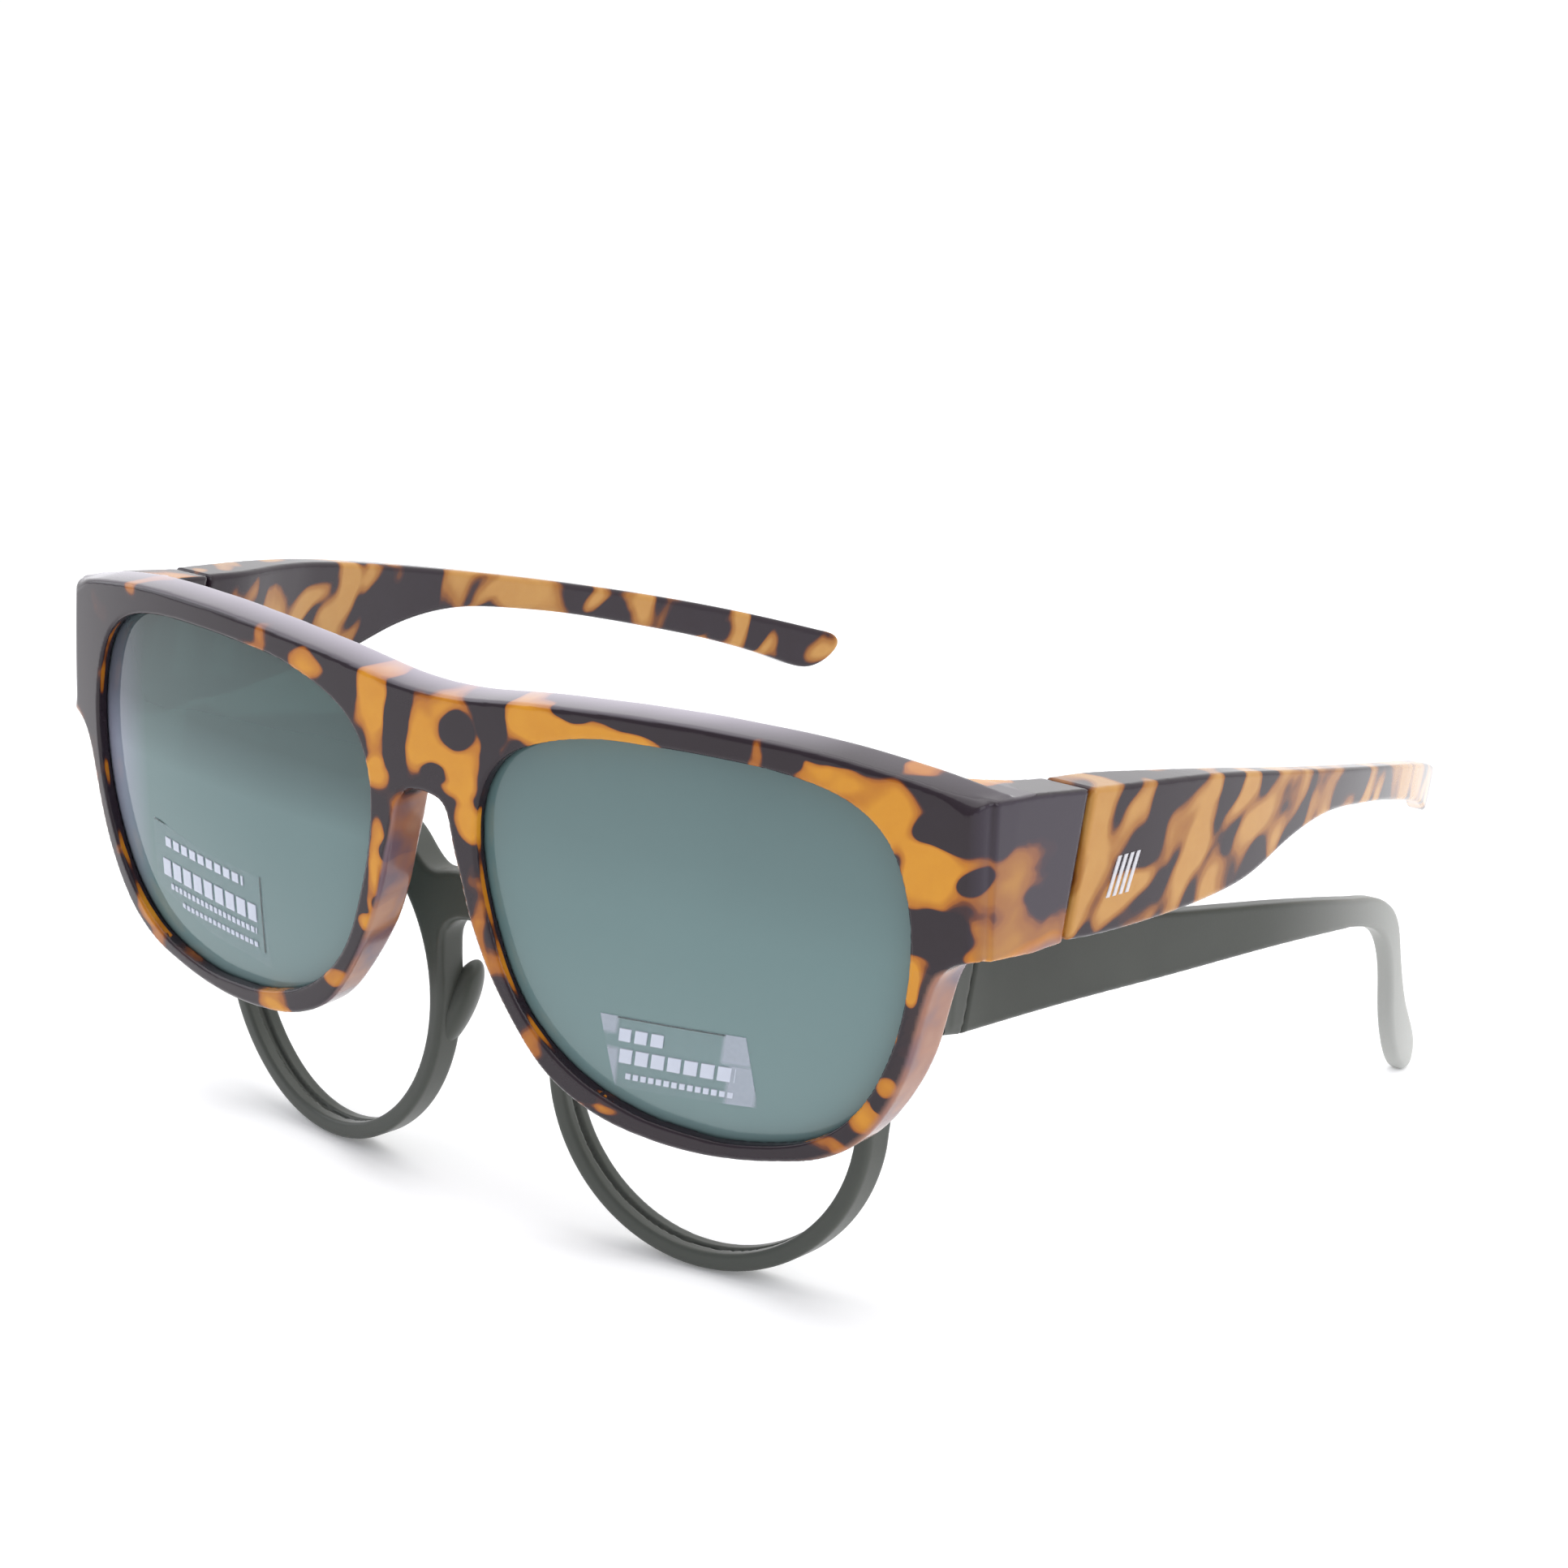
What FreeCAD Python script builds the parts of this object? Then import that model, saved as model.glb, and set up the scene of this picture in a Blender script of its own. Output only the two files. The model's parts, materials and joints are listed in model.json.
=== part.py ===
# Over-glasses sunglass frame (the "cover") carried above and in front of an optical
# frame (the "host").  Everything is drawn in the temple frame T: X to the wearer's
# left, Y from the front to the ear, Z up, temples level; the whole object is then
# tipped by TIP about X so that it stands on the host's rims and temple ends, and
# moved so that the origin is the centre of the bottom of its box.  Millimetres.
import FreeCAD, Part
import math, os
from FreeCAD import Vector as V

os.makedirs("parts", exist_ok=True)

# ------------------------------------------------------------ driving dimensions
TIP = 14.642                # deg, nose-up tip when standing on rims and temple ends
SHIFT = (0.0, -78.9, 49.105) # mm, set so that the box stands on Z=0 centred in X and Y

# cover front, in its own frame F: x, v (up the front), n (back through the front)
C_PHI = 14.85              # deg, the front's top leans forward of the temples' normal
C_A, C_B, C_C = 0.1532, 0.583, 0.18   # wrap: n = A x2/100 + B x4/1e7 + C v2/100
C_DEPTH = 6.3              # depth of brow and rims
LENS_N0, LENS_T = 1.9, 1.8 # lens recess behind the face and lens thickness
LENS_LAP = 0.8             # lens edge held in the groove
C_HW = 75.0                # half width at the end pieces
SEAM_Y = 25.3              # rear face of the cover's end pieces
SEAM_GAP = 0.4
TEMPLE_X = 76.3            # outer face of the temple at the seam
TEMPLE_SPLAY = 0.1512      # chord slope of the temple, inwards
TEMPLE_BOW = 9.9           # how far the temple bows out between hinge and tip
TEMPLE_END = 156.6
TEMPLE_TH = [(25.7, 6.95), (28, 7.25), (30, 7.45), (32.5, 7.5), (36, 7.0), (42, 5.6), (50, 4.2), (60, 3.4), (72, 3.1), (160, 3.1)]
# cover hinge
CH_X, CH_Y, CH_Z0, CH_Z1 = 67.6, 25.9, 12.0, 22.0
PIN_R, PIN_CLR, KNUCKLE_R = 0.55, 0.05, 1.3

# host front, frame H: origin (0, H_Y0, 0)
H_PHI = 9.5
H_Y0 = 14.0
H_W = 0.156                # slope of each rim plane: the rims face slightly outwards
H_B = 6.0                  # how gently the two rim planes meet at the bridge
H_CAP, H_CAPK = 46.0, 8.0  # the wrap levels off towards the end pieces
H_DEPTH = 4.65
H_RC = (32.1, -21.75)      # rim centre
H_RO, H_RI = 23.2, 20.9    # rim outer and aperture radii
H_SEAM = 24.9
H_TX = 64.9                # outer face of the host temple at the seam
H_SPLAY = -0.058           # outwards
HH_X, HH_Y, HH_Z0, HH_Z1 = 58.5, 27.2, -3.0, 5.0

AP = [(9.6,-0.5),(11.1,-5.85),(12.97,-10.87),(15.69,-15.41),(19.38,-19.12),(23.67,-21.95),(28.35,-23.8),
      (33.14,-24.94),(38.0,-25.34),(42.96,-25.42),(48.03,-24.71),(53.26,-23.3),(58.0,-20.6),(61.84,-16.43),
      (64.44,-11.45),(66.2,-6.11),(67.15,-0.5),(67.32,5.33),(66.34,11.24),(63.7,16.74),(58.86,20.2),
      (52.92,21.75),(47.44,22.29),(42.56,22.41),(38.0,22.41),(33.48,22.24),(28.67,22.02),(23.46,21.25),
      (17.77,19.6),(12.5,16.6),(9.35,11.46),(8.8,5.33)]
TOP = [(0,22.7),(5,22.9),(10.3,23.5),(15.2,24.1),(20,24.55),(24.7,24.9),(29.2,25.2),(34,25.4),(39,25.55),
       (44.4,25.5),(50,25.35),(56.5,24.9),(60.5,24.4),(64.3,23.8),(68,23.1),(71.7,22.2),(74.4,21.5)]
LOW = [(75.0,3.3),(73.2,2.8),(71.7,2.1),(70.4,0.3),(69.5,-2.4),(68.6,-6.1),(67.5,-10.3),(66.1,-14.0),
       (64.2,-17.6),(61.9,-20.7),(59.1,-23.1),(55.4,-25.0),(51.3,-26.1),(47.2,-26.95),(42,-27.6),(37,-27.75),
       (32,-27.4),(27.9,-26.75),(24,-25.55),(20.3,-23.7),(17.2,-21.2),(14.4,-17.7),(12.0,-14.0),(10.0,-10.4),
       (8.5,-7.0),(7.2,-3.4),(6.15,0.6),(5.35,3.2),(4.75,5.6),(4.35,7.3),(3.8,8.7),(2.8,9.7),(1.4,10.1),(0,10.2)]
T_TOP = [(25.7,26.3),(45,28.3),(60,29.05),(95,29.3),(125,28.65),(142,27.6),(153.4,26.5)]
T_BOT = [(25.7,8.4),(30,8.9),(45,11.6),(55,13.8),(63,16.2),(70,19.5),(78,22.4),(86,23.9),(94,24.3),(105,24.4),
         (120,23.75),(132,22.9),(142,21.6),(148.4,20.3)]
T_END = [(148.4,20.3),(151.6,20.1),(154.2,21.3),(156.0,23.3),(156.5,25.0),(155.6,26.1),(153.4,26.5)]
H_OUT_TOP = [(0,-2.0),(4,-2.0),(8,-2.2),(11,-2.9),(13,-2.8),(15.5,-1.2),(18.3,1.0),(24,2.9),(32,3.3),(41,2.9),(50,3.2),
             (57,4.8),(61,6.4),(64.9,7.3)]
H_OUT_LOW = [(64.9,-6.0),(60.6,-7.4),(57.0,-11.6),(55.3,-21.75)]
H_NOSE = [(8.9,-22.6),(9.0,-19.0),(9.3,-16.0),(9.55,-13.0),(9.4,-10.9),(8.2,-9.2),(6.0,-8.2),(3.0,-7.9),(0,-7.8)]
HT_TOP = [(25.3,7.3),(45,7.9),(66,8.6),(80,9.1),(98,9.7),(112,9.9)]
HT_BOT = [(25.3,-5.6),(47,-2.4),(68,0.3),(90,3.3),(104,5.0),(112,5.9)]
HK_OUT = [(112,9.9),(117.9,9.95),(121.2,9.2),(124.6,7.1),(127.4,2.4),(129.5,-1.5),(132.4,-5.7),(136.3,-10.2),(137.2,-13.0),
          (136.7,-14.7),(135.0,-15.3)]
HK_IN = [(135.0,-15.3),(133.2,-14.3),(130.4,-11.2),(127.8,-6.6),(126.2,-2.4),(124.4,1.2),(121.6,4.3),(117.5,5.75),(112,5.9)]


# ------------------------------------------------------------ helpers
def bspl(pts):
    c = Part.BSplineCurve()
    c.interpolate([V(*p) for p in pts])
    return c.toShape()


def seg(a, b):
    return Part.LineSegment(V(*a), V(*b)).toShape()


def face(edges):
    w = Part.Wire(Part.__sortEdges__(edges))
    return Part.Face(w)


def mirror_pts(p):
    return [(-x, v) for x, v in reversed(p)]


def wrap_c(x, v):
    return C_A * x * x / 100 + C_B * x ** 4 / 1e7 + C_C * v * v / 100


def wrap_h(x, v=0.0):
    g = math.sqrt(x * x + H_B * H_B) - H_B
    h = min(1.0, max(0.0, 0.5 + 0.5 * (H_CAP - g) / H_CAPK))
    return H_W * (H_CAP * (1 - h) + g * h - H_CAPK * h * (1 - h))


H_TILT = math.atan(H_W * H_RC[0] / math.sqrt(H_RC[0] ** 2 + H_B ** 2))


def slab_h(n0, n1, hx, v0, v1):
    """Solid between two wrapped host surfaces, extruded along v."""
    xs = [hx * k / 24.0 for k in range(-24, 25)]
    f = [(x, v0, wrap_h(x) + n0) for x in xs]
    b = [(x, v0, wrap_h(x) + n1) for x in xs]
    return face([bspl(f), seg(f[-1], b[-1]), bspl(b[::-1]), seg(b[0], f[0])]).extrude(V(0, v1 - v0, 0))


def rim_cyl(r):
    """Cylinder of radius r through the left rim, square to the rim's own plane."""
    a = V(-math.sin(H_TILT), 0, math.cos(H_TILT))
    c = V(H_RC[0], H_RC[1], wrap_h(H_RC[0]))
    return Part.makeCylinder(r, 24, c - a * 9, a)


def slab(wrap, n0, n1, hx, v0, v1, steps=7, x0=None):
    """Solid between two wrapped surfaces, lofted through sections of constant v."""
    if x0 is None:
        x0 = -hx
    wires = []
    for i in range(steps):
        v = v0 + (v1 - v0) * i / (steps - 1)
        xs = [x0 + (hx - x0) * k / 16.0 for k in range(17)]
        f = [(x, v, wrap(x, v) + n0) for x in xs]
        b = [(x, v, wrap(x, v) + n1) for x in xs]
        wires.append(Part.Wire([bspl(f), seg(f[-1], b[-1]), bspl(b[::-1]), seg(b[0], f[0])]))
    return Part.makeLoft(wires, True, False)


def prism_n(fc, n0, n1):
    """Extrude a face drawn in x,v along n."""
    s = fc.copy()
    s.translate(V(0, 0, n0))
    return s.extrude(V(0, 0, n1 - n0))


def to_T(s, phi, y0=0.0):
    """Frame F (x, v, n) to frame T: (x, v, n) -> (x, -q v + c n + y0, c v + q n)."""
    s = s.mirror(V(0, 0, 0), V(0, 0, 1))
    s.rotate(V(0, 0, 0), V(1, 0, 0), 90 + phi)
    s.translate(V(0, y0, 0))
    return s


def yz_prism(pts_edges, x0, x1):
    f = face(pts_edges)
    f.translate(V(x0, 0, 0))
    return f.extrude(V(x1 - x0, 0, 0))


def xy_prism(edges, z0, z1):
    f = face(edges)
    f.translate(V(0, 0, z0))
    return f.extrude(V(0, 0, z1 - z0))


def cyl(x, y, z0, z1, r):
    return Part.makeCylinder(r, z1 - z0, V(x, y, z0))


def box(x0, x1, y0, y1, z0, z1):
    return Part.makeBox(x1 - x0, y1 - y0, z1 - z0, V(x0, y0, z0))


def mir(s):
    return s.mirror(V(0, 0, 0), V(1, 0, 0))


def solid(s):
    s = s.removeSplitter() if hasattr(s, "removeSplitter") else s
    sl = s.Solids
    sl = sorted(sl, key=lambda q: -q.Volume)
    return sl[0]


out = {}


def put(name, s):
    s = s.copy()
    s.rotate(V(0, 0, 0), V(1, 0, 0), -TIP)
    s.translate(V(*SHIFT))
    out[name] = s


# ------------------------------------------------------------ cover front
def offset_loop(pts, d):
    """Move each point of a closed loop outwards by d."""
    n = len(pts)
    area = sum(pts[i][0] * pts[(i + 1) % n][1] - pts[(i + 1) % n][0] * pts[i][1] for i in range(n))
    s = 1.0 if area > 0 else -1.0
    res = []
    for i in range(n):
        a, b = pts[i - 1], pts[(i + 1) % n]
        tx, ty = b[0] - a[0], b[1] - a[1]
        L = math.hypot(tx, ty)
        res.append((pts[i][0] + s * d * ty / L, pts[i][1] - s * d * tx / L))
    return res


def loop_face(pts):
    c = Part.BSplineCurve()
    c.interpolate([V(x, v, 0) for x, v in pts], PeriodicFlag=True)
    return Part.Face(Part.Wire([c.toShape()]))


def to3(p):
    return [(x, v, 0) for x, v in p]


top_edge = bspl(to3(mirror_pts(TOP) + TOP[1:]))
low_r = LOW
low_all = LOW + mirror_pts(LOW)[1:]
low_edge = bspl(to3(low_all))
outline = face([top_edge, seg((TOP[-1][0], TOP[-1][1], 0), (LOW[0][0], LOW[0][1], 0)), low_edge,
                seg((-TOP[-1][0], TOP[-1][1], 0), (-LOW[0][0], LOW[0][1], 0))])
front = prism_n(outline, -8, 34).common(slab(wrap_c, 0.0, C_DEPTH, 77.0, -30, 28))
ap_l = prism_n(loop_face(AP), -12, 40)
ap_r = prism_n(loop_face([(-x, v) for x, v in AP]), -12, 40)
front = front.cut(ap_l).cut(ap_r)
lens_pts = offset_loop(AP, LENS_LAP)
slot_pts = offset_loop(AP, LENS_LAP + 0.06)
lens_l = prism_n(loop_face(lens_pts), -8, 34).common(slab(wrap_c, LENS_N0, LENS_N0 + LENS_T, 77.0, -30, 28))
slot_l = prism_n(loop_face(slot_pts), -8, 34).common(slab(wrap_c, LENS_N0 - 0.05, LENS_N0 + LENS_T + 0.05, 77.0, -30, 28))
slot_r = mir(slot_l)
front = front.cut(slot_l).cut(slot_r)
front_T = to_T(front, C_PHI)
lens_T = to_T(solid(lens_l), C_PHI)

# end pieces run back from the face to the seam
ep_xy = [(73.2, 5.0), (74.9, 6.5), (75.4, 12.0), (76.1, SEAM_Y), (69.2, SEAM_Y), (68.6, 20.0), (66.6, 15.5),
         (63.5, 12.5), (60.0, 10.5), (61.0, 7.0), (66.0, 5.5)]
ep = xy_prism([seg((ep_xy[i][0], ep_xy[i][1], 0), (ep_xy[(i + 1) % len(ep_xy)][0], ep_xy[(i + 1) % len(ep_xy)][1], 0))
               for i in range(len(ep_xy))], -5, 40)
ep_yz = [(4.6, 24.0), (10.3, 5.9), (19.8, 6.9), (SEAM_Y, 8.0), (SEAM_Y, 26.2), (15.0, 25.4)]
epz = yz_prism([seg((0, ep_yz[i][0], ep_yz[i][1]), (0, ep_yz[(i + 1) % len(ep_yz)][0], ep_yz[(i + 1) % len(ep_yz)][1]))
                for i in range(len(ep_yz))], 58, 78)
ep = ep.common(epz)
lens_keep = to_T(prism_n(loop_face(offset_loop(AP, 1.4)), -12, 40), C_PHI)
ep = ep.cut(lens_keep)
front_T = front_T.fuse(ep).fuse(mir(ep))
front_T = solid(front_T)
put("cover_front", front_T)
put("cover_lens_left", lens_T)
put("cover_lens_right", mir(lens_T))


# ------------------------------------------------------------ cover temples
def t_x(y):
    s = (y - 25.0) / 132.0
    return TEMPLE_X - TEMPLE_SPLAY * (y - 25.0) + 4 * TEMPLE_BOW * s * (1 - s)


def t_th(y):
    for (a, p), (b, q) in zip(TEMPLE_TH, TEMPLE_TH[1:]):
        if y <= b:
            return p + (q - p) * (y - a) / (b - a)
    return TEMPLE_TH[-1][1]


ys = [25.7, 28, 30, 32.5, 36, 42, 50, 60, 72, 86, 100, 115, 130, 145, 158]
xo = [(t_x(y), y, 0) for y in ys]
xi = [(t_x(y) - t_th(y), y, 0) for y in ys]
plan = xy_prism([bspl(xo), seg(xo[-1], xi[-1]), bspl(xi[::-1]), seg(xi[0], xo[0])], 0, 40)
tt = [(0, y, z) for y, z in T_TOP]
tb = [(0, y, z) for y, z in T_BOT]
tip_pts = [(0, y, z) for y, z in T_END]
side = yz_prism([bspl(tt), bspl(tb), bspl(tip_pts), seg(tb[0], tt[0])], 40, 90)
temple = solid(plan.common(side))
put("cover_temple_left", temple)
put("cover_temple_right", mir(temple))


# ------------------------------------------------------------ hinges
def hinge(x, y, z0, z1, face_x, temple_face_x, y_front, y_back, r=KNUCKLE_R):
    """Front leaf, temple leaf and screw of a three knuckle hinge with its pin along Z."""
    g = 0.15
    h = z1 - z0
    a, b = z0 + 0.27 * h, z1 - 0.27 * h
    bore = cyl(x, y, z0 - 1, z1 + 3, PIN_R + PIN_CLR)
    fl = box(face_x - 0.7, face_x, y_front, y - 1.0, z0, z1)
    for q0, q1 in ((z0, a - g), (b + g, z1)):
        fl = fl.fuse(cyl(x, y, q0, q1, r)).fuse(box(x, face_x, y - 1.1, y - 0.2, q0, q1))
    tl = box(temple_face_x - 0.7, temple_face_x, y + 0.9, y_back, z0, z1)
    tl = tl.fuse(cyl(x, y, a + g, b - g, r)).fuse(box(x, temple_face_x, y + 0.2, y + 1.1, a + g, b - g))
    # room for the other leaf's knuckles
    fl = fl.cut(cyl(x, y, a - g, b + g, r + 0.25)).cut(bore)
    tl = tl.cut(cyl(x, y, z0 - 1, a + g, r + 0.25)).cut(cyl(x, y, b - g, z1 + 1, r + 0.25)).cut(bore)
    sc = cyl(x, y, z0 - 0.4, z1 + 0.05, PIN_R).fuse(cyl(x, y, z1 + 0.05, z1 + 0.75, 1.05))
    sc = sc.cut(box(x - 1.3, x + 1.3, y - 0.15, y + 0.15, z1 + 0.4, z1 + 1))
    return solid(fl), solid(tl), solid(sc)


def t_in(y):
    return t_x(y) - t_th(y)


cfl, ctl, csc = hinge(CH_X, CH_Y, CH_Z0, CH_Z1, 69.15, 69.55, 20.3, 32.0)
# the temple leaf follows the temple's inner face
cfl = solid(cfl.cut(front_T))
ctl = solid(ctl.cut(temple))
for nm, s in (("cover_front_hinge", cfl), ("cover_temple_hinge", ctl), ("cover_hinge_screw", csc)):
    put(nm + "_left", s)
    put(nm + "_right", mir(s))

# ------------------------------------------------------------ clear labels on the cover lenses
LABEL_L = [(26.0, -12.9), (46.2, -11.6), (47.5, -20.4), (27.6, -22.3)]
LABEL_R = [(-56.1, -7.2), (-43.7, -9.0), (-32.0, -9.4), (-31.3, -21.9), (-44.5, -20.6), (-56.4, -16.6)]


def label(pts):
    n = len(pts)
    lf = face([seg((pts[i][0], pts[i][1], 0), (pts[(i + 1) % n][0], pts[(i + 1) % n][1], 0)) for i in range(n)])
    return to_T(solid(prism_n(lf, -8, 34).common(slab(wrap_c, LENS_N0 - 0.14, LENS_N0 - 0.02, 77.0, -30, 28))), C_PHI)


put("cover_lens_label_left", label(LABEL_L))
put("cover_lens_label_right", label(LABEL_R))

# ------------------------------------------------------------ small mark on the left temple
mk = yz_prism([seg((0, 31.0, 13.5), (0, 36.6, 14.6)), seg((0, 36.6, 14.6), (0, 36.6, 19.4)),
               seg((0, 36.6, 19.4), (0, 31.0, 18.3)), seg((0, 31.0, 18.3), (0, 31.0, 13.5))], 60, 90)
xo2 = [(t_x(y) + 0.02, y, 0) for y in ys]
xo3 = [(t_x(y) + 0.12, y, 0) for y in ys]
skin = xy_prism([bspl(xo2), seg(xo2[-1], xo3[-1]), bspl(xo3[::-1]), seg(xo3[0], xo2[0])], 0, 40)
put("cover_temple_mark", solid(mk.common(skin)))


# ------------------------------------------------------------ host front
def arc_pts(c, r, a0, a1, n):
    return [(c[0] + r * math.cos(math.radians(a0 + (a1 - a0) * i / n)),
             c[1] + r * math.sin(math.radians(a0 + (a1 - a0) * i / n))) for i in range(n + 1)]


ct = math.cos(H_TILT)
h_arc = [(H_RC[0] + (x - H_RC[0]) * ct, v) for x, v in arc_pts(H_RC, H_RO, 0, -178, 16)]
h_low = H_OUT_LOW[:-1] + h_arc + H_NOSE[1:]
h_low_all = h_low + mirror_pts(h_low)[1:]
h_top = bspl(to3(mirror_pts(H_OUT_TOP) + H_OUT_TOP[1:]))
h_lowe = bspl(to3(h_low_all))
hx, hv = H_OUT_TOP[-1]
h_face = face([h_top, seg((hx, hv, 0), (h_low[0][0], h_low[0][1], 0)), h_lowe,
               seg((-hx, hv, 0), (-h_low[0][0], h_low[0][1], 0))])
host = prism_n(h_face, -3, 16).common(slab_h(0.0, H_DEPTH, 67.0, -48, 12))
host = host.cut(rim_cyl(H_RI)).cut(mir(rim_cyl(H_RI)))
groove = rim_cyl(H_RI + 0.6).common(slab_h(1.8, 2.7, 67.0, -48, 12))
host = host.cut(groove).cut(mir(groove))
host_T = to_T(host, H_PHI, H_Y0)
# end pieces: thinned behind for the hinge and squared off at the seam
room = box(55.9, 61.2, 23.0, 40, -9, 14).fuse(box(55.9, 80, H_SEAM, 40, -12, 14))
host_T = host_T.cut(room).cut(mir(room))
hep_xy = [(60.2, 20.9), (62.2, 20.0), (64.4, 20.0), (64.9, 20.8), (64.9, H_SEAM), (61.2, H_SEAM), (60.9, 22.9)]
nh = len(hep_xy)
hep = xy_prism([seg((hep_xy[i][0], hep_xy[i][1], 0), (hep_xy[(i + 1) % nh][0], hep_xy[(i + 1) % nh][1], 0)) for i in range(nh)], -5.6, 7.3)
host_T = solid(host_T.fuse(hep).fuse(mir(hep)))
put("host_front", host_T)


# host nose pads: small shells behind the rims beside the nose
def nose_pad():
    e = Part.makeSphere(1.0)
    m = FreeCAD.Matrix()
    m.scale(2.2, 3.3, 6.6)
    e = e.transformGeometry(m)
    e.rotate(V(0, 0, 0), V(0, 1, 0), -16)
    e.rotate(V(0, 0, 0), V(0, 0, 1), -24)
    e.translate(V(10.2, 22.9, -20.4))
    return e


pad = nose_pad().cut(host_T).cut(to_T(rim_cyl(H_RI + 1.0), H_PHI, H_Y0))
pad = solid(pad)
put("host_nose_pad_left", pad)
put("host_nose_pad_right", mir(pad))


# ------------------------------------------------------------ host temples
def ht_x(y):
    return H_TX - H_SPLAY * (y - 25.3)


hys = [25.3, 35, 60, 90, 110, 125, 145]
hxo = [(ht_x(y) - (0.0 if y < 112 else 0.0009 * (y - 112) ** 2), y, 0) for y in hys]
hth = [3.6, 3.3, 3.0, 3.0, 2.9, 2.6, 2.6]
hxi = [(p[0] - t, p[1], 0) for p, t in zip(hxo, hth)]
hplan = xy_prism([bspl(hxo), seg(hxo[-1], hxi[-1]), bspl(hxi[::-1]), seg(hxi[0], hxo[0])], -30, 20)
h_outer = [(0, y, z) for y, z in HK_OUT]
h_inner = [(0, y, z) for y, z in HK_IN]
h_t = bspl([(0, y, z) for y, z in HT_TOP])
h_b = bspl([(0, y, z) for y, z in HT_BOT])
hside = yz_prism([h_t, bspl(h_outer), bspl(h_inner), h_b, seg((0, 25.3, -5.6), (0, 25.3, 7.3))], 40, 90)
htemple = solid(hplan.common(hside))
put("host_temple_left", htemple)
put("host_temple_right", mir(htemple))

hfl, htl, hsc = hinge(HH_X, HH_Y, HH_Z0, HH_Z1, 61.05, 61.6, 22.9, 32.3, 1.15)
hfl = solid(hfl.cut(host_T))
htl = solid(htl.cut(htemple))
for nm, s in (("host_front_hinge", hfl), ("host_temple_hinge", htl), ("host_hinge_screw", hsc)):
    put(nm + "_left", s)
    put(nm + "_right", mir(s))

# ------------------------------------------------------------ write
for nm, s in sorted(out.items()):
    s.exportStep("parts/%s.step" % nm)
    b = s.BoundBox
    print("%-26s vol %9.2f valid %s solids %d  x %.2f %.2f y %.2f %.2f z %.2f %.2f" % (
        nm, s.Volume, s.isValid(), len(s.Solids), b.XMin, b.XMax, b.YMin, b.YMax, b.ZMin, b.ZMax))
x0 = min(s.BoundBox.XMin for s in out.values()); x1 = max(s.BoundBox.XMax for s in out.values())
y0 = min(s.BoundBox.YMin for s in out.values()); y1 = max(s.BoundBox.YMax for s in out.values())
z0 = min(s.BoundBox.ZMin for s in out.values()); z1 = max(s.BoundBox.ZMax for s in out.values())
print("box", x0, x1, y0, y1, z0, z1)
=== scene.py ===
import json
import math
import bpy
import numpy as np
from mathutils import Matrix, Vector

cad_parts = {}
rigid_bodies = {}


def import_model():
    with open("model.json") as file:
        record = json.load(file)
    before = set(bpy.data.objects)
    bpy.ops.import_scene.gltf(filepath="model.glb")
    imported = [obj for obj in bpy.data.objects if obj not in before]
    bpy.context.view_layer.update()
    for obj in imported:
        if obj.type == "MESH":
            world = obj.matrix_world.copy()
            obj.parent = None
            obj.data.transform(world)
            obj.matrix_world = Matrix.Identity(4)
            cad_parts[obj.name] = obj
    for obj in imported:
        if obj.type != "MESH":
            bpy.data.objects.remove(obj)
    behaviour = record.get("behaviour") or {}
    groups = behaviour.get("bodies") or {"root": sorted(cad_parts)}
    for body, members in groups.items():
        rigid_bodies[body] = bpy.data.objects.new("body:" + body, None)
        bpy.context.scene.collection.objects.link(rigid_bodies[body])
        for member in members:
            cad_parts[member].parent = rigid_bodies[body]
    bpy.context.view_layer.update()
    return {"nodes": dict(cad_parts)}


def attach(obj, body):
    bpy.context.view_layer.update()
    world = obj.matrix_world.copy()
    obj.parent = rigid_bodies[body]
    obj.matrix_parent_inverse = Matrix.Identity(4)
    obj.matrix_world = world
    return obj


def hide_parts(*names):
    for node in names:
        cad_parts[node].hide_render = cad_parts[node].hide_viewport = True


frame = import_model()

# ---------------------------------------------------------------- frames (millimetres)
TIP = math.radians(14.642)
CT, ST = math.cos(TIP), math.sin(TIP)
SHIFT = (0.0, -78.9, 49.105)
PHI_C, PHI_H, Y_H = math.radians(14.85), math.radians(9.5), 14.0


def T_world(x, y, z):
    """Temple frame to the row frame, in metres."""
    return np.stack([x / 1000.0, (y * CT + z * ST + SHIFT[1]) / 1000.0,
                     (-y * ST + z * CT + SHIFT[2]) / 1000.0], -1)


def F_T(x, v, n, phi, y0=0.0):
    q, c = math.sin(phi), math.cos(phi)
    return x, -q * v + c * n + y0, c * v + q * n


# ---------------------------------------------------------------- outlines
AP = [(9.6, -0.5), (11.1, -5.85), (12.97, -10.87), (15.69, -15.41), (19.38, -19.12), (23.67, -21.95), (28.35, -23.8),
      (33.14, -24.94), (38.0, -25.34), (42.96, -25.42), (48.03, -24.71), (53.26, -23.3), (58.0, -20.6), (61.84, -16.43),
      (64.44, -11.45), (66.2, -6.11), (67.15, -0.5), (67.32, 5.33), (66.34, 11.24), (63.7, 16.74), (58.86, 20.2),
      (52.92, 21.75), (47.44, 22.29), (42.56, 22.41), (38.0, 22.41), (33.48, 22.24), (28.67, 22.02), (23.46, 21.25),
      (17.77, 19.6), (12.5, 16.6), (9.35, 11.46), (8.8, 5.33)]
TOP = [(0, 22.7), (5, 22.9), (10.3, 23.5), (15.2, 24.1), (20, 24.55), (24.7, 24.9), (29.2, 25.2), (34, 25.4), (39, 25.55),
       (44.4, 25.5), (50, 25.35), (56.5, 24.9), (60.5, 24.4), (64.3, 23.8), (68, 23.1), (71.7, 22.2), (74.4, 21.5)]
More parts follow.
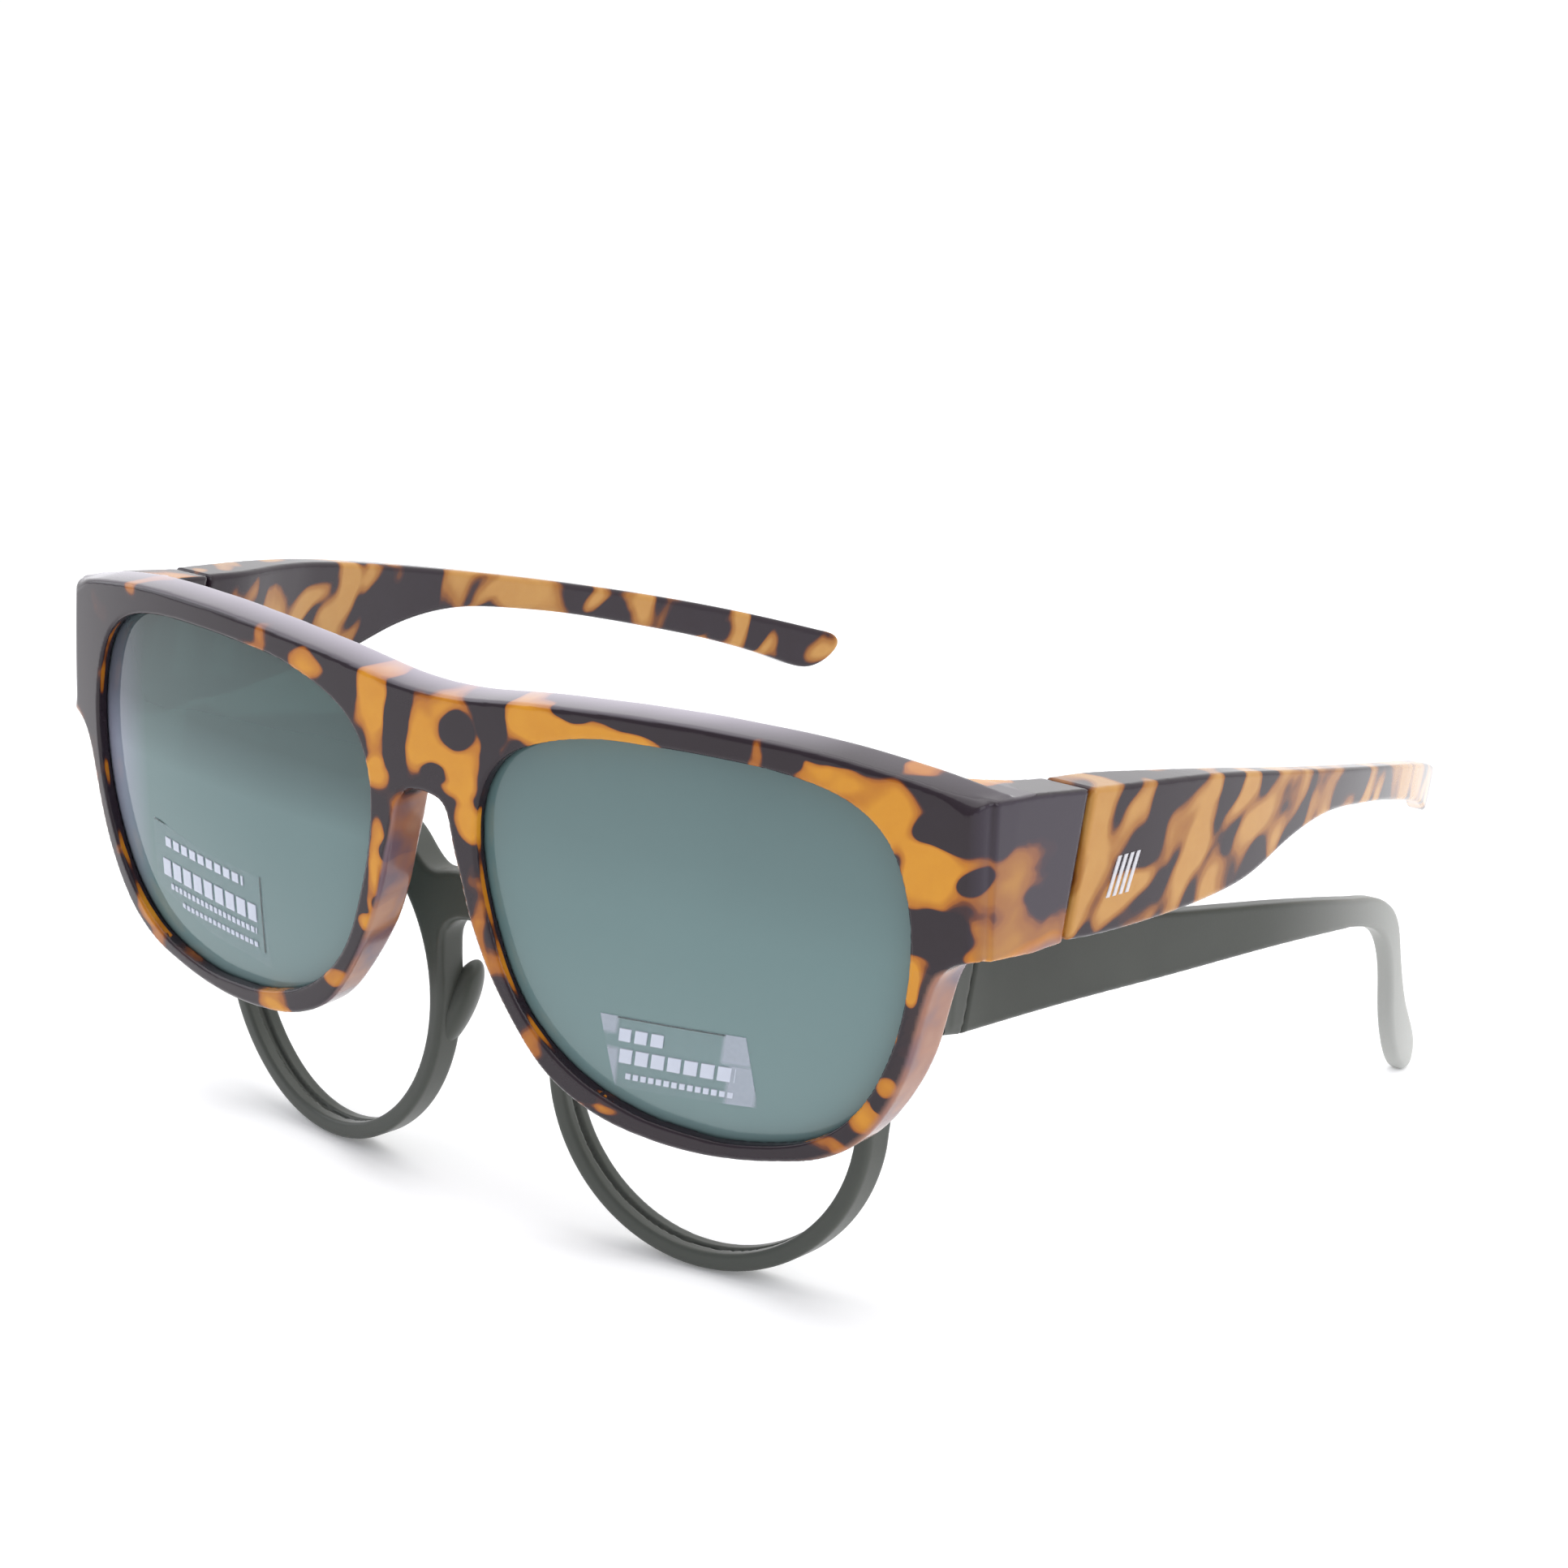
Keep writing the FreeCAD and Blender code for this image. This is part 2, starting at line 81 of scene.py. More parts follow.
LOW = [(75.0, 3.3), (73.2, 2.8), (71.7, 2.1), (70.4, 0.3), (69.5, -2.4), (68.6, -6.1), (67.5, -10.3), (66.1, -14.0),
       (64.2, -17.6), (61.9, -20.7), (59.1, -23.1), (55.4, -25.0), (51.3, -26.1), (47.2, -26.95), (42, -27.6), (37, -27.75),
       (32, -27.4), (27.9, -26.75), (24, -25.55), (20.3, -23.7), (17.2, -21.2), (14.4, -17.7), (12.0, -14.0), (10.0, -10.4),
       (8.5, -7.0), (7.2, -3.4), (6.15, 0.6), (5.35, 3.2), (4.75, 5.6), (4.35, 7.3), (3.8, 8.7), (2.8, 9.7), (1.4, 10.1), (0, 10.2)]
T_TOP = [(25.7, 26.3), (45, 28.3), (60, 29.05), (95, 29.3), (125, 28.65), (142, 27.6), (153.4, 26.5)]
T_BOT = [(25.7, 8.4), (30, 8.9), (45, 11.6), (55, 13.8), (63, 16.2), (70, 19.5), (78, 22.4), (86, 23.9), (94, 24.3), (105, 24.4),
         (120, 23.75), (132, 22.9), (142, 21.6), (148.4, 20.3)]
T_END = [(148.4, 20.3), (151.6, 20.1), (154.2, 21.3), (156.0, 23.3), (156.5, 25.0), (155.6, 26.1), (153.4, 26.5)]
T_TH = [(25.7, 6.95), (28, 7.25), (30, 7.45), (32.5, 7.5), (36, 7.0), (42, 5.6), (50, 4.2), (60, 3.4), (72, 3.1), (160, 3.1)]
H_RC, H_RO, H_RI = (32.1, -21.75), 23.2, 20.9
H_W, H_B, H_CAP, H_CAPK, H_DEPTH = 0.156, 6.0, 46.0, 8.0, 4.65
H_OUT_TOP = [(0, -2.0), (4, -2.0), (8, -2.2), (11, -2.9), (13, -2.8), (15.5, -1.2), (18.3, 1.0), (24, 2.9), (32, 3.3), (41, 2.9),
             (50, 3.2), (57, 4.8), (61, 6.4), (64.9, 7.3)]
H_OUT_LOW = [(64.9, -6.0), (60.6, -7.4), (57.0, -11.6)]
H_NOSE = [(9.0, -19.0), (9.3, -16.0), (9.55, -13.0), (9.4, -10.9), (8.2, -9.2), (6.0, -8.2), (3.0, -7.9), (0, -7.8)]
HT_TOP = [(25.3, 7.3), (45, 7.9), (66, 8.6), (80, 9.1), (98, 9.7), (112, 9.9)]
HT_BOT = [(25.3, -5.6), (47, -2.4), (68, 0.3), (90, 3.3), (104, 5.0), (112, 5.9)]
HK_OUT = [(112, 9.9), (117.9, 9.95), (121.2, 9.2), (124.6, 7.1), (127.4, 2.4), (129.5, -1.5), (132.4, -5.7), (136.3, -10.2),
          (137.2, -13.0), (136.7, -14.7), (135.0, -15.3)]
HK_IN = [(135.0, -15.3), (133.2, -14.3), (130.4, -11.2), (127.8, -6.6), (126.2, -2.4), (124.4, 1.2), (121.6, 4.3), (117.5, 5.75),
         (112, 5.9)]


def wrap_c(x, v):
    return 0.1532 * x * x / 100 + 0.583 * x ** 4 / 1e7 + 0.18 * v * v / 100


def wrap_h(x, v=0.0):
    g = np.sqrt(x * x + H_B * H_B) - H_B
    h = np.clip(0.5 + 0.5 * (H_CAP - g) / H_CAPK, 0, 1)
    return H_W * (H_CAP * (1 - h) + g * h - H_CAPK * h * (1 - h))


H_TILT = math.atan(H_W * H_RC[0] / math.hypot(H_RC[0], H_B))


def cubic(pts, k=8, closed=False):
    """Points on the cubic spline through pts."""
    p = np.array(pts, float)
    if closed:
        p = np.vstack([p, p[:1]])
    t = np.concatenate([[0], np.cumsum(np.sqrt(np.linalg.norm(np.diff(p, axis=0), axis=1)))])
    n = len(p)
    h = np.diff(t)
    A = np.zeros((n, n)); B = np.zeros((n, 2))
    for i in range(1, n - 1):
        A[i, i - 1], A[i, i], A[i, i + 1] = h[i - 1], 2 * (h[i - 1] + h[i]), h[i]
        B[i] = 6 * ((p[i + 1] - p[i]) / h[i] - (p[i] - p[i - 1]) / h[i - 1])
    if closed:
        A[0, 0], A[0, 1], A[0, n - 2] = 2 * (h[0] + h[-1]), h[0], h[-1]
        B[0] = 6 * ((p[1] - p[0]) / h[0] - (p[0] - p[n - 2]) / h[-1])
        A[n - 1, n - 1], A[n - 1, 0] = 1, -1
    else:
        A[0, 0] = A[n - 1, n - 1] = 1
    M = np.linalg.solve(A, B)
    out = []
    for i in range(n - 1):
        for j in range(k):
            s = j / k
            a, b = 1 - s, s
            out.append(a * p[i] + b * p[i + 1] + h[i] ** 2 / 6 * ((a ** 3 - a) * M[i] + (b ** 3 - b) * M[i + 1]))
    if not closed:
        out.append(p[-1])
    return np.array(out)


def poly_sdf(px, py, poly):
    """Signed distance to a closed polygon, negative inside."""
    sh = np.broadcast(px, py).shape
    X = np.broadcast_to(px, sh).ravel().astype(np.float32)
    Y = np.broadcast_to(py, sh).ravel().astype(np.float32)
    a = poly.astype(np.float32); b = np.roll(a, -1, 0)
    keep = np.linalg.norm(b - a, axis=1) > 1e-6
    a, b = a[keep], b[keep]
    e = b - a
    L2 = (e ** 2).sum(1)
    res = np.empty(len(X), np.float32)
    for s in range(0, len(X), 16384):
        x = X[s:s + 16384, None]; y = Y[s:s + 16384, None]
        wx, wy = x - a[:, 0], y - a[:, 1]
        t = np.clip((wx * e[:, 0] + wy * e[:, 1]) / L2, 0, 1)
        dx, dy = wx - t * e[:, 0], wy - t * e[:, 1]
        d = np.sqrt((dx * dx + dy * dy).min(1))
        c = (a[:, 1] > y) != (b[:, 1] > y)
        ey = np.where(np.abs(e[:, 1]) < 1e-9, 1e-9, e[:, 1])
        hit = c & (wx < wy * e[:, 0] / ey)
        inside = hit.sum(1) % 2 == 1
        res[s:s + 16384] = np.where(inside, -d, d)
    return res.reshape(sh)


class Field:
    """A signed distance sampled on a fine grid and read back by bilinear interpolation."""

    def __init__(self, poly, lo, hi, h=0.25):
        self.lo, self.h = lo, h
        self.n = [int(math.ceil((hi[i] - lo[i]) / h)) + 1 for i in (0, 1)]
        gx = lo[0] + h * np.arange(self.n[0]); gy = lo[1] + h * np.arange(self.n[1])
        self.g = poly_sdf(gx[:, None], gy[None, :], poly)

    def __call__(self, x, y):
        fx = np.clip((x - self.lo[0]) / self.h, 0, self.n[0] - 1.001)
        fy = np.clip((y - self.lo[1]) / self.h, 0, self.n[1] - 1.001)
        fx, fy = np.broadcast_arrays(fx, fy)
        i = fx.astype(np.int32); j = fy.astype(np.int32)
        u = fx - i; w = fy - j
        g = self.g
        return (g[i, j] * (1 - u) + g[i + 1, j] * u) * (1 - w) + (g[i, j + 1] * (1 - u) + g[i + 1, j + 1] * u) * w


def rmax(a, b, r):
    return np.minimum(np.maximum(a, b), -r) + np.sqrt(np.maximum(a + r, 0) ** 2 + np.maximum(b + r, 0) ** 2)


def smin(a, b, k):
    h = np.clip(0.5 + 0.5 * (b - a) / k, 0, 1)
    return b * (1 - h) + a * h - k * h * (1 - h)


def step(a, b, x):
    t = np.clip((x - a) / (b - a), 0, 1)
    return t * t * (3 - 2 * t)


def surface(f, lo, hi, h, relax=2):
    """Vertices and quads of f = 0 by naive surface nets, projected back onto the surface."""
    n = [int(math.ceil((hi[i] - lo[i]) / h)) + 1 for i in range(3)]
    ax = [lo[i] + h * np.arange(n[i]) for i in range(3)]
    V = np.empty(n, np.float32)
    for s in range(0, n[0], 12):
        V[s:s + 12] = f(ax[0][s:s + 12, None, None], ax[1][None, :, None], ax[2][None, None, :])
    V[V == 0] = 1e-6
    neg = (V < 0)
    cnt = np.zeros([k - 1 for k in n], np.uint8)
    for a in (0, 1):
        for b in (0, 1):
            for c in (0, 1):
                cnt += neg[a:n[0] - 1 + a, b:n[1] - 1 + b, c:n[2] - 1 + c]
    I, J, K = np.nonzero((cnt > 0) & (cnt < 8))
    cid = np.full(cnt.shape, -1, np.int32)
    cid[I, J, K] = np.arange(len(I))
    S = np.zeros((len(I), 3)); C = np.zeros(len(I))
    cor = [(a, b, c) for a in (0, 1) for b in (0, 1) for c in (0, 1)]
    for p in cor:
        for d in range(3):
            if p[d]:
                continue
            q = list(p); q[d] = 1
            va = V[I + p[0], J + p[1], K + p[2]]; vb = V[I + q[0], J + q[1], K + q[2]]
            m = (va < 0) != (vb < 0)
            t = np.where(m, va / np.where(m, va - vb, 1), 0)
            for e in range(3):
                S[:, e] += np.where(m, p[e] + (t if e == d else 0), 0)
            C += m
    P = S / C[:, None] + np.stack([I, J, K], 1)
    P = P * h + np.array(lo)
    quads = []
    for d in range(3):
        o1, o2 = (d + 1) % 3, (d + 2) % 3
        sl0 = [slice(None)] * 3; sl1 = [slice(None)] * 3
        sl0[d] = slice(0, n[d] - 1); sl1[d] = slice(1, n[d])
        A, Bm = neg[tuple(sl0)], neg[tuple(sl1)]
        ch = A != Bm
        idx = np.stack(np.nonzero(ch), 1)
        ok = (idx[:, o1] > 0) & (idx[:, o1] < n[o1] - 1) & (idx[:, o2] > 0) & (idx[:, o2] < n[o2] - 1)
        idx = idx[ok]
        inside = A[idx[:, 0], idx[:, 1], idx[:, 2]]
        c = []
        for s1, s2 in ((-1, -1), (0, -1), (0, 0), (-1, 0)):
            j = idx.copy(); j[:, o1] += s1; j[:, o2] += s2
            c.append(cid[j[:, 0], j[:, 1], j[:, 2]])
        q = np.stack(c, 1)
        q[~inside] = q[~inside][:, ::-1]
        quads.append(q)
    Q = np.vstack(quads)
    e = 0.04

    def project(P, times):
        for _ in range(times):
            x, y, z = P[:, 0], P[:, 1], P[:, 2]
            v = f(x, y, z)
            g = np.stack([f(x + e, y, z) - f(x - e, y, z), f(x, y + e, z) - f(x, y - e, z), f(x, y, z + e) - f(x, y, z - e)], 1) / (2 * e)
            g2 = (g ** 2).sum(1)
            st = -(v / np.maximum(g2, 0.25))[:, None] * g
            L = np.linalg.norm(st, axis=1)
            st *= np.minimum(1, 0.5 * h / np.maximum(L, 1e-9))[:, None]
            P = P + st
        return P

    E = np.vstack([Q[:, [0, 1]], Q[:, [1, 2]], Q[:, [2, 3]], Q[:, [3, 0]]])
    nv = len(P)
    P = project(P, 1)
    for _ in range(relax):
        deg = np.bincount(E[:, 0], minlength=nv) + np.bincount(E[:, 1], minlength=nv)
        avg = np.stack([np.bincount(E[:, 0], P[E[:, 1], k], nv) + np.bincount(E[:, 1], P[E[:, 0], k], nv) for k in range(3)], 1)
        avg /= np.maximum(deg, 1)[:, None]
        P = P + 0.45 * (avg - P)
        P = project(P, 1)
    return P, Q


def make(name, verts, faces, mats, body, repl, smooth=True):
    me = bpy.data.meshes.new(name)
    verts = np.asarray(verts, np.float32)
    if isinstance(faces, np.ndarray):
        k = faces.shape[1]
        me.vertices.add(len(verts)); me.vertices.foreach_set("co", verts.ravel())
        me.loops.add(faces.size); me.loops.foreach_set("vertex_index", faces.astype(np.int32).ravel())
        me.polygons.add(len(faces))
        me.polygons.foreach_set("loop_start", np.arange(0, faces.size, k, dtype=np.int32))
        me.polygons.foreach_set("loop_total", np.full(len(faces), k, np.int32))
        me.update(calc_edges=True)
    else:
        me.from_pydata(verts.tolist(), [], faces)
        me.update()
    me.validate()
    if smooth:
        me.polygons.foreach_set("use_smooth", np.ones(len(me.polygons), bool))
    ob = bpy.data.objects.new(name, me)
    bpy.context.scene.collection.objects.link(ob)
    for m in (mats if isinstance(mats, (list, tuple)) else [mats]):
        me.materials.append(m)
    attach(ob, body)
    if repl:
        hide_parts(*([repl] if isinstance(repl, str) else repl))
    return ob


def mirror(V, Q):
    W = V.copy(); W[:, 0] *= -1
    return W, Q[:, ::-1]


# ---------------------------------------------------------------- materials
def mat(name):
    m = bpy.data.materials.new(name)
    m.use_nodes = True
    nt = m.node_tree
    nt.nodes.clear()
    return m, nt


class N:
    """Small helper for building node trees."""

    def __init__(self, nt):
        self.nt = nt

    def new(self, kind, **kw):
        n = self.nt.nodes.new(kind)
        for k, v in kw.items():
            if k in ("inputs",):
                for a, b in v.items():
                    self.set(n, a, b)
            else:
                setattr(n, k, v)
        return n

    def set(self, n, key, val):
        s = n.inputs[key]
        if hasattr(val, "is_output") or isinstance(val, bpy.types.NodeSocket):
            self.nt.links.new(val, s)
        else:
            s.default_value = val

    def math(self, op, a, b=None, c=None, clamp=False):
        n = self.nt.nodes.new("ShaderNodeMath"); n.operation = op; n.use_clamp = clamp
        self.set(n, 0, a)
        if b is not None:
            self.set(n, 1, b)
        if c is not None:
            self.set(n, 2, c)
        return n.outputs[0]

    def noise(self, vec, scale, detail=2.0, rough=0.5, dist=0.0):
        n = self.nt.nodes.new("ShaderNodeTexNoise")
        self.set(n, "Vector", vec)
        n.inputs["Scale"].default_value = scale
        n.inputs["Detail"].default_value = detail
        n.inputs["Roughness"].default_value = rough
        n.inputs["Distortion"].default_value = dist
        return n

    def ramp(self, fac, stops, interp="LINEAR"):
        n = self.nt.nodes.new("ShaderNodeValToRGB")
        n.color_ramp.interpolation = interp
        el = n.color_ramp.elements
        while len(el) < len(stops):
            el.new(0.5)
        for e, (p, c) in zip(el, stops):
            e.position = p
            e.color = (c[0], c[1], c[2], 1.0) if len(c) == 3 else c
        self.set(n, "Fac", fac)
        return n.outputs["Color"]

    def mix(self, fac, a, b, mode="MIX"):
        n = self.nt.nodes.new("ShaderNodeMix"); n.data_type = "RGBA"; n.blend_type = mode
        self.set(n, 0, fac); self.set(n, 6, a); self.set(n, 7, b)
        return n.outputs[2]

    def vmath(self, op, a, b=None, scale=None):
        n = self.nt.nodes.new("ShaderNodeVectorMath"); n.operation = op
        self.set(n, 0, a)
        if b is not None:
            self.set(n, 1, b)
        if scale is not None:
            self.set(n, "Scale", scale)
        return n.outputs[0]


def srgb(r, g, b):
    f = lambda c: c / 255 / 12.92 if c <= 10.31 else ((c / 255 + 0.055) / 1.055) ** 2.4
    return (f(r), f(g), f(b), 1.0)


# patches painted into the tortoiseshell of the front: x, v (up the front), half widths, weight (+ amber, - dark)
PATCH = [
    (5.0, 17.6, 6.6, 5.2, 0.42), (-0.6, 16.6, 2.2, 4.0, 0.30), (5.3, 18.6, 2.5, 2.1, -0.75), (-4.2, 19.0, 1.9, 7.0, -0.6),
    (-8.9, 20.3, 3.0, 3.4, 0.40), (-7.3, 15.4, 2.0, 3.4, 0.40), (-7.0, 11.2, 2.3, 1.8, 0.42), (-20.8, 22.4, 3.8, 1.5, 0.26),
    (-13.5, 22.5, 2.6, 3.4, -0.35), (-7.6, 1.2, 1.4, 4.6, 0.45), (-8.5, -5.0, 1.1, 4.0, 0.42), (-9.8, -9.4, 1.8, 1.3, 0.42),
    (-6.0, 1.0, 1.3, 1.4, -0.5), (-7.6, -6.6, 0.9, 1.4, -0.4), (-17.0, -18.0, 2.3, 1.4, 0.34), (-29.0, -26.2, 3.0, 0.8, 0.20),
    (6.0, 12.3, 3.2, 2.0, 0.36), (7.7, 8.4, 1.9, 2.6, 0.46), (2.6, 12.9, 2.4, 1.2, -0.42), (10.7, 21.6, 2.1, 3.2, -0.75),
    (10.7, 16.4, 1.3, 2.4, -0.4), (17.0, 22.2, 5.0, 2.6, 0.44), (26.5, 21.9, 7.0, 2.2, 0.44), (34.0, 21.8, 4.0, 1.4, 0.36),
    (22.6, 24.1, 2.4, 1.0, -0.5), (33.6, 24.5, 5.4, 1.2, -0.6), (43.2, 23.6, 3.6, 2.6, -0.6), (47.8, 22.6, 1.8, 2.4, 0.42),
    (51.6, 24.0, 1.7, 1.5, -0.55), (56.5, 22.6, 5.0, 2.2, 0.42), (62.5, 20.6, 4.2, 3.2, 0.42), (60.0, 24.9, 7.0, 0.9, -0.45),
    (66.6, 17.0, 4.2, 5.2, 0.40), (68.4, 12.6, 3.6, 4.0, 0.40), (72.5, 10.6, 3.2, 4.2, 0.34), (71.0, 18.2, 3.6, 1.9, -0.85),
    (74.4, 22.6, 4.2, 1.9, -0.7), (73.6, 12.6, 1.3, 1.3, -0.5), (65.3, 12.6, 1.2, 3.2, -0.4), (69.3, 5.9, 4.6, 2.2, -0.7),
    (74.6, 5.0, 1.6, 3.0, 0.26), (67.6, -0.6, 1.0, 2.3, 0.55), (65.5, -5.8, 0.6, 1.6, 0.5), (64.7, -13.3, 1.5, 1.5, 0.42),
    (62.6, -17.8, 1.7, 2.6, 0.36), (63.6, -16.0, 0.7, 0.7, -0.4), (57.4, -22.4, 3.6, 1.2, 0.24), (50.0, -26.2, 4.0, 0.8, 0.17),
    (26.0, -25.0, 3.4, 0.8, 0.18), (9.6, -8.0, 0.8, 9.0, 0.08), (-66.6, 3.0, 1.0, 6.0, 0.06), (-46.0, 24.4, 2.6, 1.2, 0.16),
]
F_V = (0.0, -math.sin(PHI_C) * CT + math.cos(PHI_C) * ST, math.sin(PHI_C) * ST + math.cos(PHI_C) * CT)
F_N = (0.0, math.cos(PHI_C) * CT + math.sin(PHI_C) * ST, -math.cos(PHI_C) * ST + math.sin(PHI_C) * CT)
AMBER = [(0.455, srgb(38, 27, 36)[:3]), (0.483, srgb(56, 32, 36)[:3]), (0.499, srgb(110, 56, 22)[:3]),
         (0.522, srgb(168, 98, 22)[:3]), (0.565, srgb(192, 122, 22)[:3]), (0.68, srgb(216, 150, 34)[:3])]
CREAM = [(0.455, srgb(40, 30, 40)[:3]), (0.483, srgb(60, 36, 40)[:3]), (0.499, srgb(100, 56, 30)[:3]),
         (0.522, srgb(134, 80, 32)[:3]), (0.565, srgb(164, 110, 46)[:3]), (0.68, srgb(192, 144, 76)[:3])]


def tortoise(name, front=True, shift=(0, 0, 0), amount=0.0, stops=AMBER, squash=(1.0, 0.6, 1.1), scale=0.15):
    m, nt = mat(name)
    k = N(nt)
    tc = k.new("ShaderNodeTexCoord")
    pos = k.vmath("SCALE", tc.outputs["Object"], scale=1000.0)
    q = k.vmath("ADD", pos, shift)
    warp = k.noise(q, 0.20 if front else 0.10, 0.5, 0.5)
    w = k.vmath("SCALE", k.vmath("SUBTRACT", warp.outputs["Color"], (0.5, 0.5, 0.5)), scale=3.6 if front else 7.5)
    p2 = k.vmath("ADD", q, w)
    if not front:
        p2 = k.new("ShaderNodeMapping", inputs={"Vector": p2, "Rotation": (-0.75, 0.0, 0.0)}).outputs[0]
    sq = k.new("ShaderNodeMapping", inputs={"Vector": p2, "Scale": squash})
    big = k.noise(sq.outputs[0], scale, 0.3, 0.4)
    fine = k.noise(sq.outputs[0], 0.6, 0.5, 0.5)
    gain = 0.62 if front else 1.25
    val = k.math("MULTIPLY_ADD", k.math("SUBTRACT", big.outputs["Fac"], 0.5), gain, 0.405 if front else 0.5 + amount)
    val = k.math("ADD", val, k.math("MULTIPLY", k.math("SUBTRACT", fine.outputs["Fac"], 0.5), 0.05))
    wall = None
    if front:
        loc = k.vmath("SUBTRACT", k.vmath("ADD", pos, k.vmath("SCALE", w, scale=0.5)), SHIFT)
        sx = k.new("ShaderNodeSeparateXYZ", inputs={"Vector": loc})
        X = sx.outputs[0]
        vn = k.new("ShaderNodeVectorMath"); vn.operation = "DOT_PRODUCT"
        k.set(vn, 0, loc); k.set(vn, 1, F_V)
        Vv = vn.outputs["Value"]
        for (bx, bv, rx, rv, bw) in PATCH:
            dx = k.math("MULTIPLY", k.math("SUBTRACT", X, bx), 1.0 / rx)
            dv = k.math("MULTIPLY", k.math("SUBTRACT", Vv, bv), 1.0 / rv)
            d2 = k.math("MULTIPLY_ADD", dx, dx, k.math("MULTIPLY", dv, dv))
            g = k.math("POWER", math.e, k.math("MULTIPLY", k.math("MULTIPLY", d2, d2), -0.8))
            val = k.math("MULTIPLY_ADD", g, bw * 0.62, val)
        # the thin outer walls let light through and look peach
        geo = k.new("ShaderNodeNewGeometry")
        sn = k.new("ShaderNodeSeparateXYZ", inputs={"Vector": geo.outputs["Normal"]})
        sgn = k.math("SIGN", X)
        nx = k.math("MULTIPLY", sn.outputs[0], sgn)
        aX = k.math("ABSOLUTE", X)
        outer = k.new("ShaderNodeMapRange", inputs={"Value": aX, "From Min": 40.0, "From Max": 44.0})
        a = k.math("MULTIPLY", outer.outputs[0], k.math("MAXIMUM", nx, 0.0))
        b = k.math("MULTIPLY", k.math("SUBTRACT", 1.0, outer.outputs[0]), k.math("MAXIMUM", k.math("MULTIPLY", nx, -1.0), 0.0))
        low_ = k.new("ShaderNodeMapRange", inputs={"Value": Vv, "From Min": 3.6, "From Max": 1.0})
        nose = k.new("ShaderNodeMapRange", inputs={"Value": Vv, "From Min": 10.5, "From Max": 6.0})
        lowm = k.math("MAXIMUM", k.math("MULTIPLY", low_.outputs[0], outer.outputs[0]), k.math("MULTIPLY", nose.outputs[0], k.math("SUBTRACT", 1.0, outer.outputs[0])))
        wall = k.math("MULTIPLY", k.math("ADD", a, b), lowm)
        wall = k.new("ShaderNodeMapRange", inputs={"Value": wall, "From Min": 0.25, "From Max": 0.75}).outputs[0]
        # painted highlight: an orange line in the groove of the openings' inner walls
        nn = k.new("ShaderNodeVectorMath"); nn.operation = "DOT_PRODUCT"
        plain_loc = k.vmath("SUBTRACT", pos, SHIFT)
        k.set(nn, 0, plain_loc); k.set(nn, 1, F_N)
        x2 = k.math("MULTIPLY", X, X)
        wr = k.math("MULTIPLY_ADD", x2, 0.001532, k.math("MULTIPLY_ADD", k.math("MULTIPLY", x2, x2), 0.583e-7, k.math("MULTIPLY", k.math("MULTIPLY", Vv, Vv), 0.0018)))
        dep = k.math("SUBTRACT", nn.outputs["Value"], wr)
        inn = k.math("MAXIMUM", k.math("MULTIPLY", k.math("SUBTRACT", 1.0, outer.outputs[0]), k.math("MAXIMUM", nx, 0.0)),
                     k.math("MULTIPLY", outer.outputs[0], k.math("MAXIMUM", k.math("MULTIPLY", nx, -1.0), 0.0)))
        groove_edge_highlight = k.math("MULTIPLY", k.new("ShaderNodeMapRange", inputs={"Value": dep, "From Min": 0.35, "From Max": 0.6}).outputs[0],
                      k.new("ShaderNodeMapRange", inputs={"Value": dep, "From Min": 1.25, "From Max": 0.95}).outputs[0])
        groove_edge_highlight = k.math("MULTIPLY", groove_edge_highlight, k.math("GREATER_THAN", inn, 0.35))
        groove_edge_highlight = k.math("MULTIPLY", groove_edge_highlight, k.math("LESS_THAN", dep, 2.0))
        val = k.math("MULTIPLY_ADD", groove_edge_highlight, 0.075, val)
        # painted shade: the openings' inner walls turn darker deeper than 1.1 mm
        val = k.math("SUBTRACT", val, k.math("MULTIPLY", k.math("MULTIPLY", k.math("GREATER_THAN", inn, 0.35), k.math("GREATER_THAN", dep, 1.1)), 0.3))
        # painted reflection: the end pieces' sides and the top faces catch the pale surroundings
        side_painted_reflection = k.math("MULTIPLY", a, k.math("SUBTRACT", 1.0, low_.outputs[0]))
        side_painted_reflection = k.new("ShaderNodeMapRange", inputs={"Value": side_painted_reflection, "From Min": 0.55, "From Max": 0.95}).outputs[0]
        upn = k.new("ShaderNodeMapRange", inputs={"Value": sn.outputs[2], "From Min": 0.55, "From Max": 0.9}).outputs[0]
        upn = k.math("MULTIPLY", upn, k.math("GREATER_THAN", Vv, 20.5))
        deep = k.new("ShaderNodeMapRange", inputs={"Value": dep, "From Min": 0.6, "From Max": 6.6}).outputs[0]
        top_painted_reflection = k.math("MULTIPLY", upn, k.math("MULTIPLY_ADD", deep, 0.62, 0.16))
        near_end = k.new("ShaderNodeMapRange", inputs={"Value": X, "From Min": 38.0, "From Max": 58.0, "To Min": 1.0, "To Max": 0.15})
        top_painted_reflection = k.math("MULTIPLY", top_painted_reflection, near_end.outputs[0])
    col = k.ramp(val, stops, "EASE")
    tint = k.noise(pos, 0.35, 3.0, 0.6)
    col = k.mix(k.math("MULTIPLY", tint.outputs["Fac"], 0.34), col, (0.66, 0.36, 0.16, 1.0), "MULTIPLY")
    if wall is not None:
        soft = k.noise(pos, 0.12, 2.0, 0.5)
        peach = k.ramp(soft.outputs["Fac"], [(0.35, srgb(118, 96, 106)[:3]), (0.5, srgb(160, 112, 92)[:3]), (0.65, srgb(180, 134, 108)[:3])])
        col = k.mix(k.math("MULTIPLY", wall, 0.88), col, peach)
